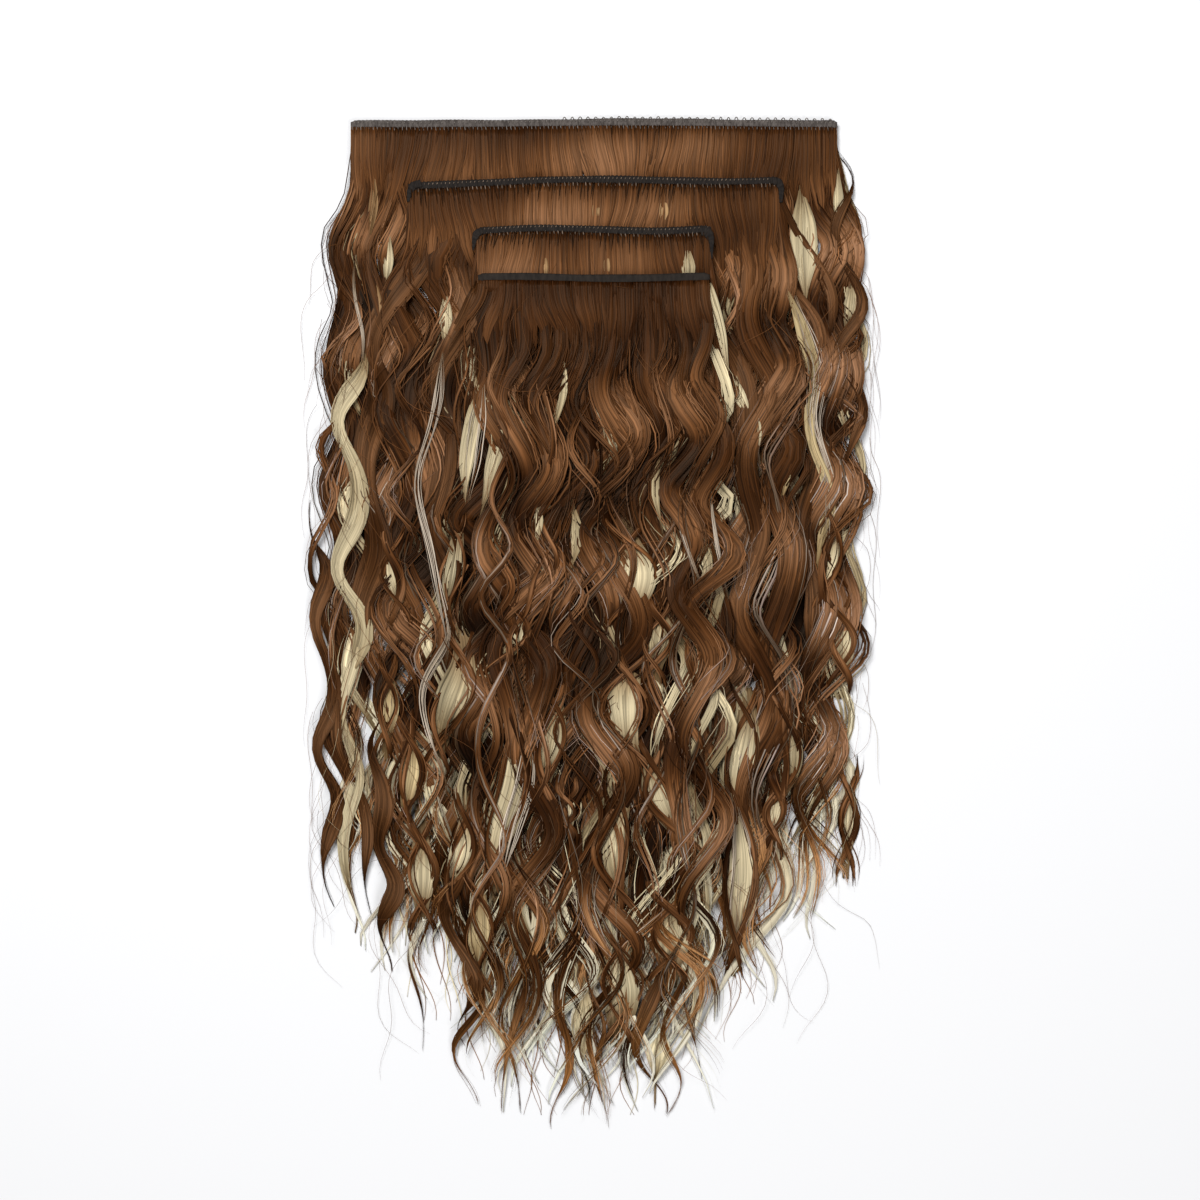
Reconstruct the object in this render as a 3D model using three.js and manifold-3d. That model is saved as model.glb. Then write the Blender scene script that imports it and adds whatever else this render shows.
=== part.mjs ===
// A clip-in hair extension laid flat: four wefts of graded width lie one on another, each a sewn track
// that carries a curtain of wavy locks, with snap clips under it.
// Millimetres, +Z up, +Y towards the tracks. The origin is on the resting surface, under the middle.
import * as THREE from "three";
import { mergeVertices } from "three/addons/utils/BufferGeometryUtils.js";
import Module from "manifold-3d";

const wasm = await Module();
wasm.setup();

// Driving dimensions
const HAIR_LENGTH = 470; // from a track's lower edge to its longest tip, as the waves lie
const WAVE_PERIOD = 68;
const WAVE_AMPLITUDE = 8;
const STRAIGHT = 48; // combed hair below a track, before the waves begin
const FIRST_BULGE = 100; // where the outer locks first swing outwards
const TRACK_HEIGHT = 6.5;
const TRACK_THICKNESS = 2.6;
const CLIP = { length: 32, width: 12, thickness: 2.4, inset: 9, end: 24 };
const LAYER_GAP = 0.6; // between one weft's hair and the next
const PIECE_GAP = 0.3; // between pieces sewn to each other

// One row for each weft, widest and lowest first. down is how far its track lies below the first one,
// ripple and tilt are how far the track strays from a straight line across.
const WEFTS = [
  { name: 1, track: 280, down: 0, locks: 12, clips: 4, ripple: 0.5, tilt: 0.0 },
  { name: 2, track: 213, down: 34.5, locks: 8, clips: 3, ripple: 1.2, tilt: 0.014 },
  { name: 3, track: 134, down: 63, locks: 6, clips: 2, ripple: 1.0, tilt: 0.004 },
  { name: 4, track: 132, down: 91, locks: 6, clips: 2, ripple: 0.6, tilt: 0.0 },
];

// How deep a weft's hair lies, by the share of HAIR_LENGTH below its track. It ends past the longest tip.
const BODY = [
  { at: 0.0, depth: 3.0 },
  { at: 0.1, depth: 4.5 },
  { at: 0.3, depth: 7.5 },
  { at: 0.75, depth: 7.5 },
  { at: 1.0, depth: 3.0 },
  { at: 1.06, depth: 0.0 },
];

// How wide a lock is, as a share of the spacing of the locks, from where it starts to its tip.
const LOCK = [
  { at: 0.0, width: 1.0 },
  { at: 0.25, width: 1.25 },
  { at: 0.6, width: 1.2 },
  { at: 0.82, width: 0.75 },
  { at: 1.0, width: 0.16 },
];

// How far the curtain fans out, as a share of the track's width, and drifts sideways, by the share of a
// lock's length.
const FAN = [
  { at: 0.0, width: 1.0, drift: 0 },
  { at: 0.2, width: 1.08, drift: 0 },
  { at: 0.65, width: 1.1, drift: -3 },
  { at: 1.0, width: 1.0, drift: -2 },
];

// The two rows of locks in a weft, as shares of its depth. They part from the combed hair between them.
const ROWS = [
  { low: 0.0, high: 0.48, rootLow: 0.25, rootHigh: 0.42 },
  { low: 0.52, high: 1.0, rootLow: 0.58, rootHigh: 0.75 },
];
const SHEET = { end: 84, low: 0.14, high: 0.86, endLow: 0.36, endHigh: 0.64, columns: 6, rows: 6 };
const LOCK_START = 30;
const LOCK_STEPS = 30;
const LOCK_TOP = 0.62; // a lock's upper face, as a share of its lower one
const TIP_ROUNDING = 0.05; // how much shorter the outer locks are
const TIP_SPREAD = 0.025; // how much neighbouring locks differ in length
const PHASE_SPREAD = 0.5;
const LIFT = { hold: 10, end: 62 }; // where the hair comes down from its clips to what it lies on

const { clamp, lerp, smoothstep } = THREE.MathUtils;

// Materials
const hairMaterial = new THREE.MeshStandardMaterial({ color: 0x6b432b, roughness: 0.45, metalness: 0 });
const trackMaterial = new THREE.MeshStandardMaterial({ color: 0x1d1713, roughness: 0.85, metalness: 0 });
const clipMaterial = new THREE.MeshStandardMaterial({ color: 0x2b201a, roughness: 0.4, metalness: 0.6 });

// A table's column at a place between its rows.
function along(table, column, at) {
  const place = clamp(at, table[0].at, table[table.length - 1].at);
  const next = Math.max(1, table.findIndex((row) => row.at >= place));
  const low = table[next - 1];
  const high = table[next];
  return lerp(low[column], high[column], (place - low.at) / (high.at - low.at));
}

// A number from -1 to 1 that differs from lock to lock without a pattern that shows.
function varied(index) {
  const golden = 0.618034;
  return ((index * golden) % 1) * 2 - 1;
}

// Heights. fromTop is the distance down from the first track's upper edge.
function belowTrack(weft, fromTop) {
  return fromTop - weft.down - TRACK_HEIGHT;
}

function depthOf(weft, fromTop) {
  return along(BODY, "depth", belowTrack(weft, fromTop) / HAIR_LENGTH);
}

function clipLift(weft, fromTop) {
  const held = CLIP.thickness + PIECE_GAP;
  return held * (1 - smoothstep(belowTrack(weft, fromTop), LIFT.hold, LIFT.end));
}

// The height of what a weft lies on: the floor, or the hair of the weft below it.
function bedOf(index, fromTop) {
  if (index === 0) return 0;
  const under = WEFTS[index - 1];
  return bedOf(index - 1, fromTop) + clipLift(under, fromTop) + depthOf(under, fromTop) + LAYER_GAP;
}

function heightIn(index, fromTop, share) {
  const weft = WEFTS[index];
  return bedOf(index, fromTop) + clipLift(weft, fromTop) + share * depthOf(weft, fromTop);
}

// The height that a weft's clips rest at, clear of the hair under their whole width.
function clipSeat(index) {
  const { down } = WEFTS[index];
  return Math.max(bedOf(index, down), bedOf(index, down + CLIP.inset + CLIP.width / 2));
}

// Solids
function shaped(geometry, place) {
  const position = geometry.getAttribute("position");
  const point = new THREE.Vector3();
  for (let i = 0; i < position.count; i++) {
    point.fromBufferAttribute(position, i);
    position.setXYZ(i, ...place(point));
  }
  return geometry;
}

function toSolid(geometry) {
  const bare = geometry.clone().deleteAttribute("normal").deleteAttribute("uv");
  const merged = mergeVertices(bare, 1e-3);
  return new wasm.Manifold(
    new wasm.Mesh({
      numProp: 3,
      vertProperties: merged.getAttribute("position").array,
      triVerts: new Uint32Array(merged.index.array),
    }),
  );
}

function toGeometry(solid) {
  const { vertProperties, triVerts } = solid.getMesh();
  return new THREE.BufferGeometry()
    .setAttribute("position", new THREE.BufferAttribute(vertProperties, 3))
    .setIndex(new THREE.BufferAttribute(triVerts, 1));
}

// The middle line of a lock: where it lies across the weft at a distance below the track.
function lockLine(weft, index) {
  const across = ((index + 0.5) / weft.locks) * 2 - 1;
  const side = index % 2 ? 1 : -1;
  const shorter = TIP_ROUNDING * across ** 2 + TIP_SPREAD * (1 + varied(index * 3 + weft.name));
  const length = HAIR_LENGTH * (1 - shorter);
  const phase = PHASE_SPREAD * varied(index + weft.name * 5) * (1 - across ** 2);
  const swing = WAVE_AMPLITUDE * (1 + 0.2 * varied(index * 2 + weft.name));
  const x = (below) => {
    const turn = ((below - FIRST_BULGE) / WAVE_PERIOD) * 2 * Math.PI + phase;
    const wave = side * swing * smoothstep(below, STRAIGHT, FIRST_BULGE) * Math.cos(turn);
    const spread = across * (weft.track / 2) * along(FAN, "width", below / length);
    return spread + along(FAN, "drift", below / length) + wave;
  };
  return { x, length, row: ROWS[index % 2] };
}

// A lock is a flat tapering strip along its middle line.
function lock(index, number) {
  const weft = WEFTS[index];
  const line = lockLine(weft, number);
  const spacing = weft.track / weft.locks;
  const corner = Math.SQRT1_2;
  const strip = new THREE.CylinderGeometry(1, 1, 1, 4, LOCK_STEPS, false, Math.PI / 4);
  return shaped(strip, (p) => {
    const share = 0.5 - p.y;
    const below = lerp(LOCK_START, line.length, share);
    const slope = line.x(below + 0.5) - line.x(below - 0.5);
    const upper = p.z > 0 ? LOCK_TOP : 1;
    const half = (p.x / corner) * 0.5 * spacing * along(LOCK, "width", share) * upper;
    const across = new THREE.Vector2(1, slope).normalize().multiplyScalar(half);
    const fromTop = weft.down + TRACK_HEIGHT + below - across.y;
    const parted = smoothstep(below, LOCK_START, SHEET.end);
    const low = lerp(line.row.rootLow, line.row.low, parted);
    const high = lerp(line.row.rootHigh, line.row.high, parted);
    const level = lerp(low, high, (p.z / corner + 1) / 2);
    return [line.x(below) + across.x, -fromTop, heightIn(index, fromTop, level)];
  });
}

// The combed hair that leaves the track as one sheet.
function combedSheet(index) {
  const weft = WEFTS[index];
  const slab = new THREE.BoxGeometry(1, 1, 1, SHEET.columns, SHEET.rows, 1);
  return shaped(slab, (p) => {
    const below = lerp(PIECE_GAP, SHEET.end, 0.5 - p.y);
    const fromTop = weft.down + TRACK_HEIGHT + below;
    const width = weft.track * along(FAN, "width", below / HAIR_LENGTH);
    const ripple = trackRipple(weft, p.x * weft.track) * (1 - smoothstep(below, 0, STRAIGHT));
    const thinned = smoothstep(below, 0, SHEET.end);
    const low = lerp(SHEET.low, SHEET.endLow, thinned);
    const high = lerp(SHEET.high, SHEET.endHigh, thinned);
    const level = lerp(low, high, p.z + 0.5);
    return [p.x * width, -fromTop + ripple, heightIn(index, fromTop, level)];
  });
}

function hair(index) {
  const weft = WEFTS[index];
  let body = toSolid(combedSheet(index));
  for (let number = 0; number < weft.locks; number++) body = body.add(toSolid(lock(index, number)));
  const mesh = new THREE.Mesh(toGeometry(body), hairMaterial);
  mesh.name = `hair_${weft.name}`;
  return mesh;
}

// A track's gentle stray from a straight line, towards +Y.
function trackRipple(weft, x) {
  const wave = Math.sin((x / weft.track) * 2.2 * Math.PI + weft.name);
  return weft.ripple * wave + weft.tilt * x;
}

// The sewn track: a flat band with eased edges, bent along its ripple.
function track(index) {
  const weft = WEFTS[index];
  const ease = 0.8;
  const low = -TRACK_HEIGHT / 2;
  const section = new THREE.Shape();
  section.moveTo(low + ease, 0);
  section.lineTo(-low - ease, 0);
  section.lineTo(-low, ease);
  section.lineTo(-low, TRACK_THICKNESS - ease);
  section.lineTo(-low - ease, TRACK_THICKNESS);
  section.lineTo(low + ease, TRACK_THICKNESS);
  section.lineTo(low, TRACK_THICKNESS - ease);
  section.lineTo(low, ease);
  const band = new THREE.ExtrudeGeometry(section, { depth: 1, steps: 10, bevelEnabled: false });
  const seat = clipSeat(index) + CLIP.thickness + PIECE_GAP;
  shaped(band, (p) => {
    const x = (p.z - 0.5) * weft.track;
    return [x, p.x - weft.down - TRACK_HEIGHT / 2 + trackRipple(weft, x), seat + p.y];
  });
  const mesh = new THREE.Mesh(band, trackMaterial);
  mesh.name = `track_${weft.name}`;
  return mesh;
}

// A closed snap clip, sewn flat under the track.
function clip(index, number) {
  const weft = WEFTS[index];
  const radius = CLIP.width / 2;
  const reach = CLIP.length / 2 - radius;
  const outline = new THREE.Shape();
  outline.absarc(-reach, 0, radius, Math.PI / 2, 1.5 * Math.PI);
  outline.absarc(reach, 0, radius, -Math.PI / 2, Math.PI / 2);
  const plate = new THREE.ExtrudeGeometry(outline, {
    depth: CLIP.thickness,
    bevelEnabled: false,
    curveSegments: 5,
  });
  const mesh = new THREE.Mesh(plate, clipMaterial);
  const x = lerp(-1, 1, number / (weft.clips - 1)) * (weft.track / 2 - CLIP.end);
  mesh.position.set(x, -weft.down - CLIP.inset, clipSeat(index));
  mesh.name = `clip_${weft.name}_${number + 1}`;
  return mesh;
}

// The extension, moved so that the middle of its underside is at the origin.
const extension = new THREE.Group();
WEFTS.forEach((weft, index) => {
  extension.add(track(index), hair(index));
  for (let number = 0; number < weft.clips; number++) extension.add(clip(index, number));
});
const bounds = new THREE.Box3().setFromObject(extension);
const middle = bounds.getCenter(new THREE.Vector3());
extension.position.set(-middle.x, -middle.y, -bounds.min.z);

const part = new THREE.Group();
part.add(extension);
export default part;
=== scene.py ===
import math
from collections import namedtuple

import bpy
import numpy as np
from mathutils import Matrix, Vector


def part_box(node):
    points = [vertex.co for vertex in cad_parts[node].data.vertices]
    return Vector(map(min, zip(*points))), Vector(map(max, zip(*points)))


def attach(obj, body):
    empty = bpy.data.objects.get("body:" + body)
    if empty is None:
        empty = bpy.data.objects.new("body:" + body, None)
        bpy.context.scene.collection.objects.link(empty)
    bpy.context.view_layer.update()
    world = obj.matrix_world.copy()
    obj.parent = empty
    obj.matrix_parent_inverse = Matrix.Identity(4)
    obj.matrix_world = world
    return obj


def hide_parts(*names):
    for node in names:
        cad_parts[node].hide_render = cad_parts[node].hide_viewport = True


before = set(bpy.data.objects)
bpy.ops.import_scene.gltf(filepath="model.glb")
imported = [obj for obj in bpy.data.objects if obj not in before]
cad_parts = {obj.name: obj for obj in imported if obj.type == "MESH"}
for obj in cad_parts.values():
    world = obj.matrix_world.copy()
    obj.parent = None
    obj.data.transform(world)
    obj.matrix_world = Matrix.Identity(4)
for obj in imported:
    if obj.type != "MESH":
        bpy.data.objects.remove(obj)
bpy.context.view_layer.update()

# A clip-in hair extension laid flat: four sewn tracks, each with a curtain of wavy locks made of tresses.
# Sizes are in millimetres and are scaled to metres where a mesh is made. A distance called below is measured
# from a weft's own track, one called from_top from the upper edge of the first track.
MM = 0.001
SEED = 11
TURN = 2.0 * math.pi
UP = np.array([0.0, 0.0, 1.0])

# The lie of the hair, as the solids have it
HAIR_LENGTH = 470.0
TRACK_HEIGHT = 6.5
TRACK_THICKNESS = 2.6
CLIP_LIFT = 2.7
LAYER_GAP = 0.6
LIFT_HOLD = 10.0
LIFT_END = 62.0
TIP_ROUNDING = 0.05
RIPPLE_HALF_TURNS = 2.2

# The waves begin soon below the track and lengthen towards the tips.
WAVE_START = 12.0
WAVE_FULL = 65.0
FIRST_BULGE = 100.0
WAVE_SWING = 6.2
SWING_GROWTH = 0.5
OWN_START = 80.0  # above this neighbours wave together, and by OWN_FULL each strand has its own waves
OWN_FULL = 230.0
PERIOD_AT_ROOT = 58.0
PERIOD_GROWTH = 0.036

# One row for each weft, widest and lowest first: its track's width and place, its locks, how far the track
# strays, the shade of its roots and how far down that goes, how dark all of it is, and how fine it is
WEFT_COLUMNS = "name track down locks ripple tilt root_shade root_reach shade detail".split()
WEFTS = [dict(zip(WEFT_COLUMNS, row)) for row in (
    (1, 280.0, 0.0, 12, 0.5, 0.0, 0.6, 14.0, 0.0, 1.0),
    (2, 213.0, 34.5, 8, 1.2, 0.014, 0.6, 14.0, 0.0, 1.0),
    (3, 134.0, 63.0, 6, 1.0, 0.004, 0.7, 12.0, 0.12, 0.7),
    (4, 132.0, 91.0, 6, 0.6, 0.0, 0.42, 60.0, 0.12, 1.27),
)]
LOWEST_WEFT = 1
TOP_WEFT = 4

# How deep a weft's hair lies, and how far the curtain fans out and drifts, by the share of its length
BODY_AT = (0.0, 0.1, 0.3, 0.75, 1.0, 1.06)
BODY_DEPTH = (3.0, 4.5, 7.5, 7.5, 3.0, 0.0)
FAN_AT = (0.0, 0.2, 0.65, 1.0)
FAN_WIDTH = (1.0, 1.08, 1.1, 1.0)
FAN_DRIFT = (0.0, 0.0, -4.0, -8.0)

# How wide a lock, a tress and a ribbon are by the share of the length, as a share of the full width
LOCK_AT = (0.0, 0.12, 0.25, 0.62, 0.82, 1.0)
LOCK_WIDTH = (1.0, 0.95, 1.0, 0.8, 0.55, 0.1)
TRESS_AT = (0.0, 0.012, 0.05, 0.6, 0.85, 1.0)
TRESS_WIDTH = (0.6, 0.75, 1.0, 1.0, 0.82, 0.05)
RIBBON_AT = (0.0, 0.012, 0.05, 0.62, 0.8, 0.92, 1.0)
RIBBON_WIDTH = (0.6, 0.75, 1.0, 1.0, 0.7, 0.3, 0.03)

# The middle of the first track's top in the photo, for placing the camera over the object
PHOTO_SIZE = 1200
PHOTO_TRACK = (594.0, 120.5)
MM_PER_PIXEL = 0.5773

rng = np.random.default_rng(SEED)
track_low, track_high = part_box("track_1")
centre_x = (track_low.x + track_high.x) / 2 / MM
top_y = track_low.y / MM + TRACK_HEIGHT + WEFTS[0]["ripple"]


def smooth(low, high, value):
    """From 0 at low to 1 at high, with soft ends."""
    share = np.clip((value - low) / (high - low), 0.0, 1.0)
    return share * share * (3.0 - 2.0 * share)


def waver(distance, length, phase):
    """From -1 to 1 and back along a distance."""
    return np.sin(distance / length * TURN + phase)


def waves_across(waves, weft, x):
    """Waves from lock to lock over one another. Each has a height, a length and a shift from weft to weft."""
    return sum(height * np.sin(x / length + shift * weft["name"]) for height, length, shift in waves)


def column(low, high, count):
    """A random number for each tube."""
    return rng.uniform(low, high, (count, 1))


def scatter(spread, count, middle=0.0):
    """A random number for each tube, most of them near the middle."""
    return rng.normal(middle, spread, (count, 1))


def shares(points):
    """The share of a tube's length at each of its points."""
    return np.linspace(0.0, 1.0, points)[None, :]


def below_track(weft, from_top):
    return from_top - weft["down"] - TRACK_HEIGHT


def depth(weft, from_top):
    """How deep a weft's hair lies."""
    return np.interp(below_track(weft, from_top) / HAIR_LENGTH, BODY_AT, BODY_DEPTH)


def lift(weft, from_top):
    """How far the clips raise a weft."""
    return CLIP_LIFT * (1.0 - smooth(LIFT_HOLD, LIFT_END, below_track(weft, from_top)))


def bed(index, from_top):
    """The height of what a weft lies on."""
    height = np.zeros_like(from_top)
    for under in WEFTS[:index]:
        height = height + lift(under, from_top) + depth(under, from_top) + LAYER_GAP
    return height


def height_at(index, from_top, level):
    """The height of a level in a weft's hair, from 0 at its bottom to 1 at its top."""
    weft = WEFTS[index]
    return bed(index, from_top) + lift(weft, from_top) + level * depth(weft, from_top)


def ripple(weft, x):
    """How far a track strays from a straight line, towards +Y."""
    angle = x / weft["track"] * RIPPLE_HALF_TURNS * math.pi + weft["name"]
    return weft["ripple"] * np.sin(angle) + weft["tilt"] * x


def wave_angle(below):
    """How far round its waves a lock is at a distance below the track."""
    first = PERIOD_AT_ROOT + PERIOD_GROWTH * FIRST_BULGE
    return TURN / PERIOD_GROWTH * np.log((PERIOD_AT_ROOT + PERIOD_GROWTH * below) / first)


def placed(x, from_top, z, stray=0.0):
    """Points from their places across, down and up."""
    return np.stack([x + centre_x, top_y - from_top + stray, z], axis=2)


# Colours of the hair, linear
BROWN = np.array([0.104, 0.041, 0.0138])
AMBER = np.array([0.28, 0.12, 0.036])
BLOND = np.array([0.48, 0.40, 0.25])
PALE = np.array([0.76, 0.66, 0.43])
SILVER = np.array([0.42, 0.35, 0.275])
CARAMEL = np.array([0.27, 0.16, 0.074])
CREAM = np.array([0.79, 0.755, 0.64])
STRAW = np.array([0.42, 0.32, 0.17])
GREY = SILVER * 0.6
# Painted shade for the dark spaces between the bunches sewn to a track
GAP_SHADE_COLOUR = BROWN * np.array([0.14, 0.13, 0.12])
# Light tones turn paler, like sheen, both for painted light and for lighter hair
DARKER = np.array([1.0, 1.16, 1.4])  # how much each of red, green and blue follows a darker tone
LIGHTER = np.array([1.0, 1.25, 1.68])  # and a lighter one
TONE_KNEE = 0.45  # above this a tone rises more slowly
KNEE_SLOPE = 0.45
LIGHTEST = 0.8


def toned(colour, tone, fair=0.0):
    """A lighter or darker colour. Light brown is paler, dark brown redder, and fair hair keeps its hue."""
    tone = np.where(tone > TONE_KNEE, TONE_KNEE + KNEE_SLOPE * (tone - TONE_KNEE), tone)[..., None]
    fair = np.asarray(fair)[..., None]
    lighter = LIGHTER + (1.0 - LIGHTER) * fair
    return np.clip(colour * np.exp(tone * np.where(tone > 0.0, lighter, DARKER)), 0.0, LIGHTEST)


def with_streaks(colour, strength):
    """Colours with a fourth number that says how strong the streaks are."""
    return np.concatenate([colour, np.broadcast_to(strength, (*colour.shape[:2], 1))], axis=2)


# Strands: shares of a lock that its strands take, and how the hair lies from lock to lock
SPLITS = (
    (0.56, 0.44),
    (0.40, 0.60),
    (0.34, 0.30, 0.36),
    (0.62, 0.38),
    (0.46, 0.54),
)
OVERLAP = 1.55  # how much wider a strand is than its share
OUT_OF_STEP = 0.25  # how many strands wave against their row
HIDDEN_WITHIN = 0.45  # locks this near the middle of a lower weft are out of sight
BACK_LEVEL = 0.34
FRONT_LEVEL = 0.74
LOOSE = 2  # loose strands over each lock
FLOCK_WAVES = ((1.2, 38.0, 1.7), (0.6, 17.0, 2.9))
LEAN_WAVES = ((0.15, 27.0, 2.1), (0.08, 11.0, 1.0))


def root_lean(weft, x):
    """How far the hair leans to +X as it leaves the track, for each millimetre down."""
    lean = waves_across(LEAN_WAVES, weft, x)
    if weft["name"] == TOP_WEFT:
        lean = 1.3 * lean + 0.42 * (x / (weft["track"] / 2)) ** 3
    return lean


def light_phase(weft, x):
    """The waves of neighbours catch the light at nearly the same height."""
    return 0.9 * weft["name"] + 0.9 * math.sin(x / 33.0 + weft["name"])


def strand_traits(weft, across, place, width, loose):
    """What all the hair of a strand has in common. across is its lock's place, place how far it is off it."""
    outer = abs(across) > 1.0 - 1.5 / weft["locks"] and not loose and weft["name"] == LOWEST_WEFT
    stray = 0.35 if outer else 1.0
    middle = across * weft["track"] / 2 + place
    return {
        "across": across,
        "middle": middle,
        "outer": float(outer),
        "place": place,
        "half": width / 2,
        "own": rng.normal(0.0, 0.5) * stray,
        "flock": waves_across(FLOCK_WAVES, weft, middle) + (rng.normal(0.0, 0.8) if loose else 0.0),
        "pace": 1.0 - 0.26 * stray + rng.normal(0.0, 0.05) * stray,
        "drift": rng.normal(0.0, 0.45) * stray,
        "drift_phase": rng.uniform(0.0, TURN),
        "swing": WAVE_SWING * rng.uniform(0.8, 1.5) * (0.6 if outer else 1.0),
        "swell_phase": rng.uniform(0.0, TURN),
        "meander": rng.uniform(1.0, 5.0) * stray,
        "meander_phase": rng.uniform(0.0, TURN),
        "level": 0.6,
        "hump": rng.uniform(0.7, 1.3),
        "hump_phase": rng.uniform(0.0, TURN),
        "light_phase": light_phase(weft, middle) + rng.normal(0.0, 0.45),
        "curl": rng.normal(0.0, 9.0),
        "turn": rng.uniform(0.2, 0.6) * rng.choice((-1.0, 1.0)),
        "tone": rng.normal(0.0, 0.14),
        "lean": root_lean(weft, middle),
        "blond": 0.0,
        "rise": 10.0,
        "length": HAIR_LENGTH * (1.0 - TIP_ROUNDING * across**2) * rng.uniform(0.93, 1.03),
    }


# Fair strands of each weft: place across, width, how far below the track they come up and their level then
FAIR = {
    1: ((-120, 11, 170, 0.5), (-104, 11, 200, 0.7), (-70, 11, 200, 0.7), (104, 11, 180, 0.65),
        (128, 9, 160, 0.4), (139, 7, 24, 0.45)),
    2: ((-78, 11, 200, 0.45), (-58, 12, 220, 0.8), (56, 12, 220, 0.8), (78, 11, 160, 0.45)),
    3: ((-58, 12, 180, 0.9), (-16, 12, 190, 0.9), (30, 12, 180, 0.9), (65, 9, 4, 0.95)),
    4: ((-46, 11, 170, 0.3), (-24, 10, 110, 0.35), (4, 11, 200, 0.4), (40, 8, 90, 0.6), (57, 10, 180, 0.45)),
}


def strands_of(index):
    """The strands of a weft, each with the stretch of track it hangs from and its sort."""
    weft = WEFTS[index]
    spacing = weft["track"] / weft["locks"]
    edge = weft["track"] / 2 - 0.6
    strands = []
    for number in range(weft["locks"]):
        across = (number + 0.5) / weft["locks"] * 2.0 - 1.0
        front = number % 2
        hidden = weft["name"] < 3 and abs(across) < HIDDEN_WITHIN
        left = -0.5
        for share in SPLITS[(number * 2 + index) % len(SPLITS)]:
            place = (left + share / 2) * spacing
            strand = strand_traits(weft, across, place, share * spacing * OVERLAP, False)
            if front != (rng.random() < OUT_OF_STEP):
                strand["own"] += math.pi
            strand["level"] = (FRONT_LEVEL if front else BACK_LEVEL) + rng.uniform(-0.2, 0.2)
            strand["sort"] = "hidden" if hidden else "broad"
            strands.append(strand)
            left += share
        for _ in range(0 if hidden else LOOSE):
            place = rng.uniform(-0.5, 0.5) * spacing
            strand = strand_traits(weft, across, place, rng.uniform(2.5, 6.0), True)
            strand["own"] = rng.uniform(0.0, TURN)
            strand["level"] = rng.uniform(0.6, 1.0)
            strand["sort"] = "loose"
            strands.append(strand)
    for place, width, rise, level in FAIR[weft["name"]]:
        strand = strand_traits(weft, place / weft["track"] * 2.0, 0.0, width, False)
        strand["own"] = rng.uniform(0.0, TURN)
        strand.update(blond=1.0, rise=rise, level=level, sort="fair", tone=0.0)
        strands.append(strand)
    for strand in strands:
        reach = max(strand["half"], 2.0)
        strand["root_low"] = max(strand["middle"] - reach, -edge)
        strand["root_high"] = min(strand["middle"] + reach, edge)
    return strands


# Each strand has a few broad ribbons of combed hair, thin tresses over them and single hairs that stray.
KINDS = {
    "ribbon": {"wide": (0.55, 1.0), "reach": 0.55, "stray": (0.1, 0.2), "tone": 0.1},
    "tress": {"wide": (0.4, 1.2), "reach": 1.2, "stray": (0.2, 1.0), "tone": 0.4},
    "hair": {"wide": (0.2, 0.36), "reach": 1.5, "stray": (0.8, 2.0), "tone": 0.4},
}
# How many of each kind a strand of each sort has, and how many points each kind has
AMOUNTS = {
    "ribbon": {"hidden": 1, "loose": 2, "fair": 3, "broad": 5},
    "tress": {"hidden": 1, "loose": 4, "fair": 4, "broad": 13},
    "hair": {"hidden": 0, "loose": 2, "fair": 2, "broad": 7},
}
POINTS = {"ribbon": 56, "tress": 48, "hair": 40}
GREY_TRESSES = 0.14


def hair_traits(strand, kind, layer):
    """One ribbon, tress or single hair of a strand, in a layer from -1 to 1."""
    ways = KINDS[kind]
    least, most = ways["stray"]
    stray = least + (most - least) * rng.random() ** 3
    u = rng.uniform(-1.0, 1.0)
    hair = dict(strand)
    hair["u"] = u * ways["reach"]
    hair["v"] = layer + (0.0 if kind == "ribbon" else 0.5)
    hair["root"] = strand["root_low"] + (strand["root_high"] - strand["root_low"]) * (u + 1.0) / 2
    hair["own"] = strand["own"] + rng.normal(0.0, 0.3) * stray
    hair["flock"] = strand["flock"] + rng.normal(0.0, 0.3) * stray
    hair["swing"] = strand["swing"] * rng.normal(1.0, 0.17 * stray)
    hair["wander"] = rng.uniform(0.1, 0.4) + 1.5 * stray
    hair["wander_phase"] = rng.uniform(0.0, TURN)
    hair["length"] = strand["length"] * (1.0 - 0.12 * rng.random() ** 2)
    hair["tone"] = strand["tone"] + rng.normal(0.0, ways["tone"])
    hair["width"] = rng.uniform(*ways["wide"])
    if kind == "ribbon":
        hair["width"] *= strand["half"] * (0.7 if strand["blond"] else 1.0)
    light = kind == "tress" and rng.random() < GREY_TRESSES
    hair["grey"] = rng.uniform(0.3, 0.9) if light else rng.uniform(0.0, 0.5) if kind == "hair" else 0.0
    hair["roll"] = rng.normal(0.0, 0.2 * stray)
    hair["kink_phase"] = strand["hump_phase"] + rng.normal(0.0, 0.25) * stray
    return hair


def table(rows):
    """One column for each trait."""
    return {key: np.array([row[key] for row in rows])[:, None] for key in rows[0]}


def hair_of(strands, kind):
    """All the hair of a kind in the strands."""
    rows = []
    for strand in strands:
        count = AMOUNTS[kind][strand["sort"]]
        for number in range(count):
            layer = (number + 0.5) / count * 2.0 - 1.0
            rows.append(hair_traits(strand, kind, layer))
    return table(rows)


LOWEST = 580.0  # how far from the top the lowest wisps reach


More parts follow.
